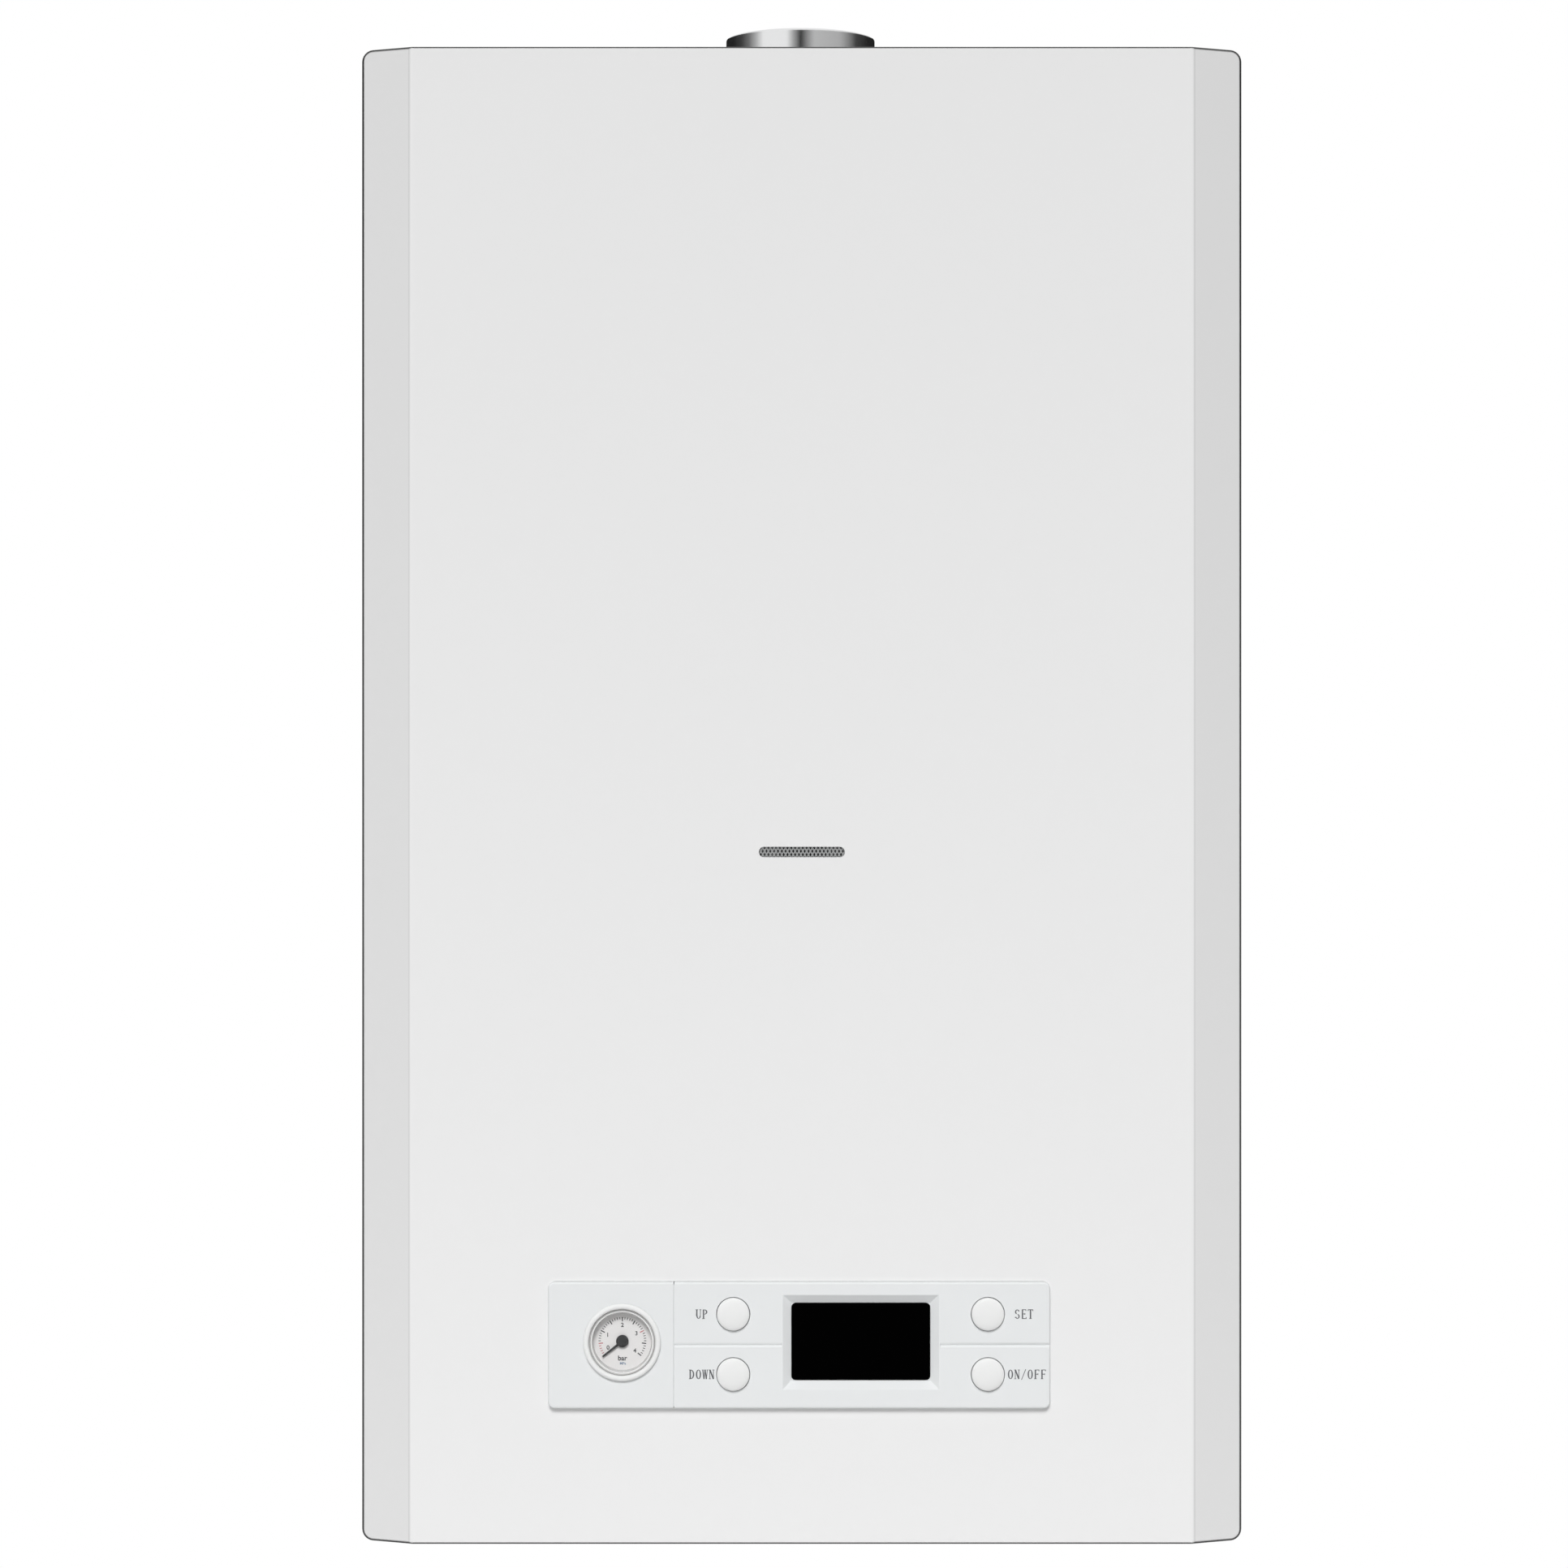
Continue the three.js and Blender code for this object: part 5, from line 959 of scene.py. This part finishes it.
def make_gauge_case(sizes):
    low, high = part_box("gauge_case")
    proud = panel_face() - low.y
    back = panel_face() - high.y
    lip = (sizes.ring - sizes.ring_inner) / 2
    well = sizes.dial + WELL_ROOM
    floor = -sizes.dial_depth - WELL_FLOOR
    seat = proud - LENS_SEAT * lip
    ring = turned([
        (0, back), (sizes.body, back), (sizes.body, SEAT), (sizes.ring, SEAT),
        *arc((sizes.ring - lip, proud - lip), lip, 0, 180, LIP_STEPS),
        (sizes.ring_inner, seat), (well, seat), (well, floor), (0, floor),
    ])
    add_to_gauge("gauge_ring_case", ring, "key_plastic", "gauge_case", ["gauge_case"])
    foot = -sizes.dial_depth + SLOPE_LIFT
    slope = turned([
        (sizes.dial, foot), (sizes.dial + SLOPE_WIDTH, foot),
        *(((sizes.ring_inner if away < 0 else sizes.dial) + away, proud - drop * lip) for away, drop in SLOPE_POINTS),
    ], closed=True)
    add_to_gauge("gauge_inner_ring", slope, "gauge_ring", "gauge_case")


def print_on_dial(name, sizes, forms, ink):
    """Prints flat forms, made upright about the gauge's middle, on its dial."""
    form = print_on(joined(*forms), (0, sizes.dial_depth, 0))
    add_to_gauge(name, form, ink, "gauge_dial", turn=Matrix())


def make_scale(sizes):
    """The ticks, red up to the usual range and at its end."""
    dark = []
    red = []
    for index in range(TICKS):
        is_long = index % TICKS_PER_LONG == 0
        size = sizes.tick_major if is_long else sizes.tick_minor
        tick = bmesh.new()
        stroke(tick, 0, sizes.tick_outer - size, 0, sizes.tick_outer, 0,
               LONG_TICK_WIDTH if is_long else SHORT_TICK_WIDTH)
        kind = red if index <= LAST_LOW_TICK or index == LIMIT_TICK else dark
        kind.append(moved(tick, Matrix.Rotation(-scale_angle(index / (TICKS - 1)), 4, "Y")))
    print_on_dial("scale_ticks", sizes, dark, "print_black")
    print_on_dial("scale_red_ticks", sizes, red, "print_red")


def plain_text(text, height, x, z):
    """Text in the plain built-in letters, as a flat form centred on (x, z)."""
    curve = bpy.data.curves.new("text", "FONT")
    curve.body = text
    curve.size = height * TEXT_SIZE
    curve.offset = height * BOLDER
    curve.align_x = "CENTER"
    curve.align_y = "CENTER"
    holder = linked("text", curve)
    mesh = bpy.data.meshes.new_from_object(holder.evaluated_get(bpy.context.evaluated_depsgraph_get()))
    form = form_of(mesh)
    bpy.data.objects.remove(holder)
    bpy.data.curves.remove(curve)
    bpy.data.meshes.remove(mesh)
    return moved(form, TO_FRONT, Matrix.Translation((x, 0, z)))


def make_numbers(sizes):
    numbers = []
    for value, shift in enumerate(NUMBER_SHIFTS):
        angle = scale_angle(value / FULL_VALUE) + math.radians(shift)
        numbers.append(plain_text(str(value), sizes.number_height, sizes.number_radius * math.cos(angle),
                                  sizes.number_radius * math.sin(angle)))
    print_on_dial("scale_numbers", sizes, [*numbers, plain_text("bar", *BAR_TEXT)], "print_black")
    print_on_dial("scale_unit", sizes, [plain_text("MPa", *MPA_TEXT)], "print_blue")


def make_dial(sizes):
    rim = sizes.dial + DIAL_LAP
    back = -sizes.dial_depth - DIAL_THICKNESS
    dial = turned([(DIAL_BORE, back), (rim, back), (rim, -sizes.dial_depth), (DIAL_BORE, -sizes.dial_depth)],
                  closed=True)
    add_to_gauge("dial_face", dial, "dial_paper", "gauge_dial", ["gauge_dial"])


def make_needle(sizes):
    """A domed hub on its arbor and a flat, tapered hand that points to zero."""
    low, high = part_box("gauge_needle")
    back = panel_face() - high.y
    front = panel_face() - low.y
    base = -sizes.dial_depth + SEAT
    hub = turned([
        (0, back), (ARBOR, back), (ARBOR, base), (sizes.hub, base),
        *arc((sizes.hub - HUB_EDGE, front - HUB_EDGE), HUB_EDGE, 0, HUB_ARC, EDGE_STEPS), (0, front),
    ])
    under = base + HAND_LIFT
    hand = slab((0, -sizes.hand_width / 2, under), (sizes.hand, sizes.hand_width / 2, under + HAND_THICKNESS))
    tip = [vert for vert in hand.verts if vert.co.x > sizes.hand / 2]
    bmesh.ops.scale(hand, verts=tip, vec=(1, TIP_TAPER, 1))
    form = joined(hub, moved(hand, Matrix.Rotation(scale_angle(0), 4, "Z")))
    add_to_gauge("gauge_hand", form, "black_plastic", "gauge_needle", ["gauge_needle"])


def make_lens(sizes):
    """A thin lens that curves slightly outwards, let into the ring."""
    edge = panel_face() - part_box("gauge_case")[0].y - LENS_DEPTH
    radius = sizes.dial + LENS_LAP
    angles = [math.pi / 2 * step / LENS_STEPS for step in range(LENS_STEPS)]
    outer = [(radius * math.cos(a), edge + LENS_RISE * math.sin(a)) for a in angles] + [(0, edge + LENS_RISE)]
    inner = [(x, height - LENS_THICKNESS) for x, height in outer]
    lens = add_to_gauge("lens_glass", turned(inner[::-1] + outer), "clear_glass", "gauge_lens", ["gauge_lens"])
    lens.visible_shadow = False
    lens.visible_diffuse = False


# ---- inside and underneath

# Edge rounding of each node, in millimetres.
ROUNDED = {
    "cover_screw_left": 0.25, "cover_screw_right": 0.25, "cable_gland": 0.4, "control_box": 0.5,
    "control_board": 0.15, "chamber_door": 0.35, "sight_glass": 0.5, "flue_hood": 0.3, "heat_exchanger": 0.15,
    "combustion_box": 0.4, "burner": 0.2, "gas_manifold": 0.3, "flame_electrode": 0.2,
    "air_pressure_switch": 0.6, "fan_housing": 0.3, "fan_motor": 0.6, "fan_impeller": 0.15,
    "expansion_vessel": 0.6, "return_manifold": 1.2, "flow_manifold": 1.2, "relief_valve_knob": 0.5,
    "filling_tap_knob": 0.5, "diverter_motor": 1.2, "diverter_spindle": 0.2, "plate_heat_exchanger": 0.2,
    "gas_valve": 1.2, "pump_body": 1.0, "pump_motor": 0.8, "pump_impeller": 0.2,
}
# The pipes' radii, in millimetres.
PIPES = {"exchanger_return_pipe": 9.0, "exchanger_flow_pipe": 9.0, "expansion_hose": 6.0}
# Two triangles of a pipe make one quad up to this bend between them and this skew of its corners.
QUAD_BEND = math.radians(30)
QUAD_SKEW = math.radians(60)
SWELL = 0.105  # how far a pipe's rings are pushed out, over its radius


def make_inner_pieces():
    """Castings, sheet boxes and turned parts with rounded edges and smooth curves."""
    for node, radius in ROUNDED.items():
        add_softened(node, "part", radius * MM)


def is_cap(face):
    """Whether a triangle lies on a flat end: its neighbours are level with it or square to it, some of each."""
    angles = [edge.calc_face_angle(0) for edge in face.edges]
    level = sum(angle < FLAT_ANGLE for angle in angles)
    square = sum(angle > SQUARE_ANGLE for angle in angles)
    return level and square and level + square == len(angles)


def pipe_form(node, radius):
    """A CAD pipe's rings as quads, swollen so that its subdivided surface has the pipe's radius."""
    form = form_of(frame["nodes"][node].data)
    bmesh.ops.dissolve_faces(form, faces=[face for face in form.faces if is_cap(face)])
    bmesh.ops.join_triangles(form, faces=form.faces, angle_face_threshold=QUAD_BEND,
                             angle_shape_threshold=QUAD_SKEW)
    rims = {vert for face in form.faces if len(face.verts) > 4 for vert in face.verts}
    form.normal_update()
    for vert in form.verts:
        if vert not in rims:
            vert.co += vert.normal * radius * SWELL
    creases = form.edges.layers.float.new("crease_edge")
    for edge in form.edges:
        if edge.calc_face_angle(0) > SQUARE_ANGLE:
            edge[creases] = 1
    return form


def make_pipes():
    for node, radius in PIPES.items():
        pipe = add_piece(f"{node}_tube", pipe_form(node, radius * MM), SLOTS[node], node, [node],
                         PIPE_SMOOTH_ANGLE)
        modify(pipe, "round", "SUBSURF", levels=PIPE_LEVELS, render_levels=PIPE_LEVELS)


THREAD_PITCH = 1.8 * MM
THREAD_DEPTH = 0.9 * MM
THREAD_LENGTH = 18 * MM
THREAD_START = 0.4  # pitches from the lower end to the first thread
NECK_INSET = 1 * MM
HEX_LENGTH = 7 * MM
HEX_ALLOWANCE = 2 * MM
HEX_RIM = 0.18  # width of the faces left at the hexagon's ends, over the thread's radius
SMALL_BORE = 7 * MM
LARGE_BORE = 9 * MM
LARGE_RADIUS = 12 * MM
UNION_STEPS = 48


def hexagon_form(radius, foot, rim):
    """The hexagon's six sides and a rim at each end, open in the middle."""
    form = bmesh.new()
    ring = bmesh.ops.create_circle(form, cap_ends=True, radius=radius, segments=6)
    bmesh.ops.rotate(form, verts=ring["verts"], matrix=Matrix.Rotation(math.pi / 6, 3, "Z"), cent=(0, 0, 0))
    lifted = bmesh.ops.extrude_face_region(form, geom=form.faces[:])["geom"]
    verts = [item for item in lifted if isinstance(item, bmesh.types.BMVert)]
    bmesh.ops.translate(form, verts=verts, vec=(0, 0, HEX_LENGTH))
    bmesh.ops.translate(form, verts=form.verts, vec=(0, 0, foot))

    def level_faces():
        return [face for face in form.faces if abs(face.normal.z) > FACING]

    rims = bmesh.ops.inset_individual(form, faces=level_faces(), thickness=rim)["faces"]
    bmesh.ops.delete(form, geom=[face for face in level_faces() if face not in rims], context="FACES_ONLY")
    bmesh.ops.recalc_face_normals(form, faces=form.faces)
    return form


def union_form(node):
    """A threaded connection: V-shaped threads, a hexagon and a plain neck."""
    low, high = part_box(node)
    radius = (high.x - low.x) / 2 - HEX_ALLOWANCE
    root = radius - THREAD_DEPTH
    neck = radius - NECK_INSET
    bore = LARGE_BORE if radius > LARGE_RADIUS else SMALL_BORE
    shoulder = low.z + THREAD_LENGTH
    profile = [(bore, low.z), (root, low.z)]
    for turn in range(int(THREAD_LENGTH / THREAD_PITCH) - 1):
        foot = low.z + (turn + THREAD_START) * THREAD_PITCH
        profile += [(root, foot), (radius, foot + THREAD_PITCH / 2)]
    profile += [(root, shoulder), (neck, shoulder), (neck, high.z), (bore, high.z)]
    hexagon = hexagon_form(radius + HEX_ALLOWANCE, shoulder, radius * HEX_RIM)
    return moved(joined(turned(profile, UNION_STEPS, closed=True), hexagon), above(node))


def make_unions():
    for node in ("heating_flow_union", "hot_water_union", "gas_union", "cold_water_union", "heating_return_union"):
        add_piece(f"{node}_thread", union_form(node), "brass", node, [node], THREAD_SMOOTH_ANGLE)


DOOR_SCREWS = 4
SCREW_INSET = 5 * MM
SCREW_HEAD = 3.6 * MM
SCREW_EDGE = 1 * MM
SCREW_HEIGHT = 2 * MM
SCREW_RECESS = 0.9 * MM
SCREW_STEPS = 20
DOOR_PLATE = 1.3 * MM  # from the seal's front to the door's face


def make_door_screws():
    """Pan-head screws along the chamber door's two sides."""
    low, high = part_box("chamber_door")
    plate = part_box("chamber_door_seal")[0].y - DOOR_PLATE
    profile = [(0, 0), (SCREW_HEAD, 0), *arc((SCREW_HEAD - SCREW_EDGE, SCREW_EDGE), SCREW_EDGE, 0, 70, EDGE_STEPS),
               (SCREW_RECESS, SCREW_HEIGHT), (SCREW_RECESS, SCREW_RECESS), (0, SCREW_RECESS)]
    places = [Matrix.Translation((x, plate, low.z + (high.z - low.z) * (index + 0.5) / DOOR_SCREWS))
              for x in (low.x + SCREW_INSET, high.x - SCREW_INSET) for index in range(DOOR_SCREWS)]
    heads = [moved(turned(profile, SCREW_STEPS), TO_FRONT, place) for place in places]
    add_piece("door_screws", joined(*heads), "galvanised", "chamber_door")


KEPT_FINISHES = {"sight_grille": "mesh_steel"}


def dress_kept_nodes():
    """Finishes on the CAD nodes whose shape is right as it is."""
    for node, part in frame["nodes"].items():
        if part.hide_render:
            continue
        material = finish_of(KEPT_FINISHES.get(node, SLOTS[node]))
        if not part.material_slots:
            part.data.materials.append(material)
        for place in part.material_slots:
            place.material = material


# ---- studio

FLOOR_SHADE = (0.86, 0.86, 0.86)
FLOOR_REACH = 12
SENSOR_WIDTH = 36
# What the collar mirrors: (bearing from the front in degrees, right being positive, brightness).
REFLECTIONS = (
    (-180, 0.015), (-125, 0.02), (-100, 0.055), (-84, 0.18), (-70, 0.5), (-57, 1), (-20, 1), (-12, 0.5), (0, 0.02),
    (12, 0.36), (20, 0.58), (60, 0.5), (76, 0.28), (92, 0.06), (125, 0.02), (180, 0.015),
)
RING_RADIUS = 3
RING_HEIGHT = 1
# Lamps: (bearing from the front, height above the horizon, softness, which strength), angles in degrees.
LAMPS = ((-4, 38, 22, "key_light"), (-115, 12, 60, "side_light"), (115, 12, 60, "side_light"),
         (180, 12, 60, "back_light"))


def stage_material(name, shade):
    """A matt material; returns it with its shader."""
    material = bpy.data.materials.new(name)
    material.use_nodes = True
    shader = material.node_tree.nodes["Principled BSDF"]
    shader.inputs["Base Color"].default_value = (*shade, 1)
    shader.inputs["Roughness"].default_value = 1
    shader.inputs["Specular IOR Level"].default_value = 0
    return material, shader


def seen_white(tree, ambient):
    """1 for rays that see or mirror the surroundings, the ambient strength for those that light."""
    rays = add_node(tree, "LightPath").outputs
    seen = math_node(tree, "MAXIMUM", rays["Is Camera Ray"], rays["Is Glossy Ray"])
    seen = math_node(tree, "MAXIMUM", seen, rays["Is Transmission Ray"])
    return add_node(tree, "MapRange", {"Value": seen, "To Min": ambient, "To Max": 1.0}).outputs["Result"]


def floor_material(studio):
    """A pale floor that shows the shadow near the boiler and is plain white further out."""
    material, shader = stage_material("floor", FLOOR_SHADE)
    tree = material.node_tree
    away = add_node(tree, "VectorMath", {0: object_place(tree)}, operation="LENGTH")
    fade = add_node(tree, "MapRange", {
        "Value": away.outputs["Value"], "From Min": studio.shadow_reach, "From Max": studio.floor_fade},
        interpolation_type="SMOOTHSTEP")
    white = add_node(tree, "Emission", {"Strength": seen_white(tree, studio.ambient)})
    mix = add_node(tree, "MixShader", {
        0: fade.outputs["Result"], 1: shader.outputs["BSDF"], 2: white.outputs["Emission"]})
    tree.links.new(mix.outputs["Shader"], tree.nodes["Material Output"].inputs["Surface"])
    return material


def stage_object(name, form, material):
    mesh = mesh_of(name, form)
    mesh.materials.append(material)
    piece = linked(name, mesh)
    return piece


def make_floor(studio):
    form = bmesh.new()
    form.faces.new([form.verts.new((x, y, 0)) for x, y in outline(FLOOR_REACH, FLOOR_REACH, 0, 1)[::2]])
    floor = stage_object("floor", form, floor_material(studio))
    floor.location.z = CAD_BOX[0].z - studio.floor_drop


def reflection_material():
    """A glow whose brightness follows the bearing from the front."""
    material, shader = stage_material("reflections", BLACK)
    tree = material.node_tree
    parts = add_node(tree, "SeparateXYZ", {0: object_place(tree)}).outputs
    bearing = math_node(tree, "ARCTAN2", parts["X"], math_node(tree, "MULTIPLY", parts["Y"], -1))
    share = math_node(tree, "ADD", math_node(tree, "DIVIDE", bearing, 2 * math.pi), 0.5)
    ramp = add_node(tree, "ValToRGB", {"Fac": share})
    stops = ramp.color_ramp.elements
    for degrees, _ in REFLECTIONS[1:-1]:
        stops.new(degrees / 360 + 0.5)
    for stop, (_, brightness) in zip(stops, REFLECTIONS):
        stop.color = (brightness, brightness, brightness, 1)
    tree.links.new(ramp.outputs["Color"], shader.inputs["Emission Strength"])
    return material


def make_reflections():
    """A low ring round the boiler, from the collar's foot upwards, that only reflections see."""
    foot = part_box("flue_collar")[0].z
    ring = stage_object("reflections", turned([(RING_RADIUS, foot), (RING_RADIUS, foot + RING_HEIGHT)]),
                        reflection_material())
    for ray in ("camera", "diffuse", "shadow", "transmission"):
        setattr(ring, f"visible_{ray}", False)


def make_world(studio):
    world = bpy.data.worlds.new("studio")
    bpy.context.scene.world = world
    world.use_nodes = True
    tree = world.node_tree
    background = tree.nodes["Background"]
    background.inputs["Color"].default_value = WHITE
    tree.links.new(seen_white(tree, studio.ambient), background.inputs["Strength"])


def make_lamps(studio):
    for index, (bearing, height, softness, setting) in enumerate(LAMPS):
        up = math.radians(height)
        data = bpy.data.lights.new(f"lamp_{index}", "SUN")
        data.angle = math.radians(softness)
        data.energy = math.pi * getattr(studio, setting) / math.cos(up)
        lamp = linked(f"lamp_{index}", data)
        lamp.visible_glossy = False
        angle = math.radians(bearing)
        towards = Vector((math.sin(angle) * math.cos(up), -math.cos(angle) * math.cos(up), math.sin(up)))
        lamp.rotation_mode = "QUATERNION"
        lamp.rotation_quaternion = towards.to_track_quat("Z", "Y")


def make_camera(distance, facet_depth):
    """Square on to the cover, at the photograph's distance and framing."""
    low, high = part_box("front_cover")
    frame_width = (high.x - low.x) * IMAGE_PX / CASE_PX * distance / (distance + facet_depth)
    pixel = frame_width / IMAGE_PX
    data = bpy.data.cameras.new("camera")
    data.sensor_width = SENSOR_WIDTH
    data.lens = SENSOR_WIDTH * distance / frame_width
    camera = linked("camera", data)
    centre = (low + high) / 2
    camera.location = (centre.x - (CASE_CENTRE_PX[0] - IMAGE_PX / 2) * pixel, low.y - distance,
                       centre.z + (CASE_CENTRE_PX[1] - IMAGE_PX / 2) * pixel)
    camera.rotation_euler = (math.pi / 2, 0, 0)
    bpy.context.scene.camera = camera


# ---- operators

class Step:
    """What every operator does: it builds its part of the boiler from the scene's settings."""

    def execute(self, context):
        self.build(context.scene.boiler_look)
        return {"FINISHED"}


class BOILER_OT_finishes(Step, bpy.types.Operator):
    """Make the boiler's finishes"""
    bl_idname = "boiler.finishes"
    bl_label = "Finishes"

    def build(self, look):
        for name, pattern in PATTERNS.items():
            make_group(name, pattern)
        for make in (casing_finishes, metal_finishes, other_finishes):
            make(look.colours)


class BOILER_OT_casing(Step, bpy.types.Operator):
    """Fold the cover and dress the casing's sheets"""
    bl_idname = "boiler.casing"
    bl_label = "Casing"

    def build(self, look):
        make_cover(look.cover)
        make_sheets(look.cover)


class BOILER_OT_flue(Step, bpy.types.Operator):
    """Turn the flue's collar and inner duct"""
    bl_idname = "boiler.flue"
    bl_label = "Flue"

    def build(self, look):
        make_flue(look.flue)


class BOILER_OT_panel(Step, bpy.types.Operator):
    """Mould the control panel and its display"""
    bl_idname = "boiler.panel"
    bl_label = "Control Panel"

    def build(self, look):
        make_panel(look.cover)


class BOILER_OT_keys(Step, bpy.types.Operator):
    """Turn the four keys and print their words"""
    bl_idname = "boiler.keys"
    bl_label = "Keys"

    def build(self, look):
        make_keys(look.keys)
        make_words(look.keys)


class BOILER_OT_gauge(Step, bpy.types.Operator):
    """Build the pressure gauge with its scale, hand and lens"""
    bl_idname = "boiler.gauge"
    bl_label = "Pressure Gauge"

    def build(self, look):
        for make in (make_gauge_case, make_dial, make_scale, make_numbers, make_needle, make_lens):
            make(look.gauge)


class BOILER_OT_inside(Step, bpy.types.Operator):
    """Dress the chamber, the fan, the water side and the gas side"""
    bl_idname = "boiler.inside"
    bl_label = "Inside"

    def build(self, look):
        make_inner_pieces()
        make_pipes()
        make_door_screws()


class BOILER_OT_connections(Step, bpy.types.Operator):
    """Thread the connections under the casing"""
    bl_idname = "boiler.connections"
    bl_label = "Connections"

    def build(self, look):
        make_unions()


class BOILER_OT_kept_nodes(Step, bpy.types.Operator):
    """Put finishes on the nodes that stay as they are"""
    bl_idname = "boiler.kept_nodes"
    bl_label = "Plain Sheets"

    def build(self, look):
        dress_kept_nodes()


class BOILER_OT_stage(Step, bpy.types.Operator):
    """Set up the floor, the light and the camera"""
    bl_idname = "boiler.stage"
    bl_label = "Stage"

    def build(self, look):
        make_reflections()
        for make in (make_floor, make_world, make_lamps):
            make(look.studio)
        make_camera(look.studio.camera_distance, look.cover.facet_depth)
        bpy.context.scene.view_settings.view_transform = "Standard"


STEPS = ("finishes", "stage", "casing", "flue", "panel", "keys", "gauge", "inside", "connections", "kept_nodes")


class BOILER_PT_sidebar(bpy.types.Panel):
    """The boiler's operators"""
    bl_idname = "BOILER_PT_sidebar"
    bl_label = "Combi Boiler"
    bl_space_type = "VIEW_3D"
    bl_region_type = "UI"
    bl_category = "Boiler"

    def draw(self, context):
        for step in STEPS:
            self.layout.operator(f"boiler.{step}")


CLASSES = (
    CoverSizes, FlueSizes, KeySizes, GaugeSizes, Colours, Studio, BoilerLook, BOILER_OT_finishes,
    BOILER_OT_casing, BOILER_OT_flue, BOILER_OT_panel, BOILER_OT_keys, BOILER_OT_gauge, BOILER_OT_inside,
    BOILER_OT_connections, BOILER_OT_kept_nodes, BOILER_OT_stage, BOILER_PT_sidebar,
)


def register():
    for cls in CLASSES:
        bpy.utils.register_class(cls)
    bpy.types.Scene.boiler_look = PointerProperty(type=BoilerLook)


def unregister():
    del bpy.types.Scene.boiler_look
    for cls in reversed(CLASSES):
        bpy.utils.unregister_class(cls)


def main():
    register()
    for step in STEPS:
        getattr(bpy.ops.boiler, step)()


if __name__ == "__main__":
    main()
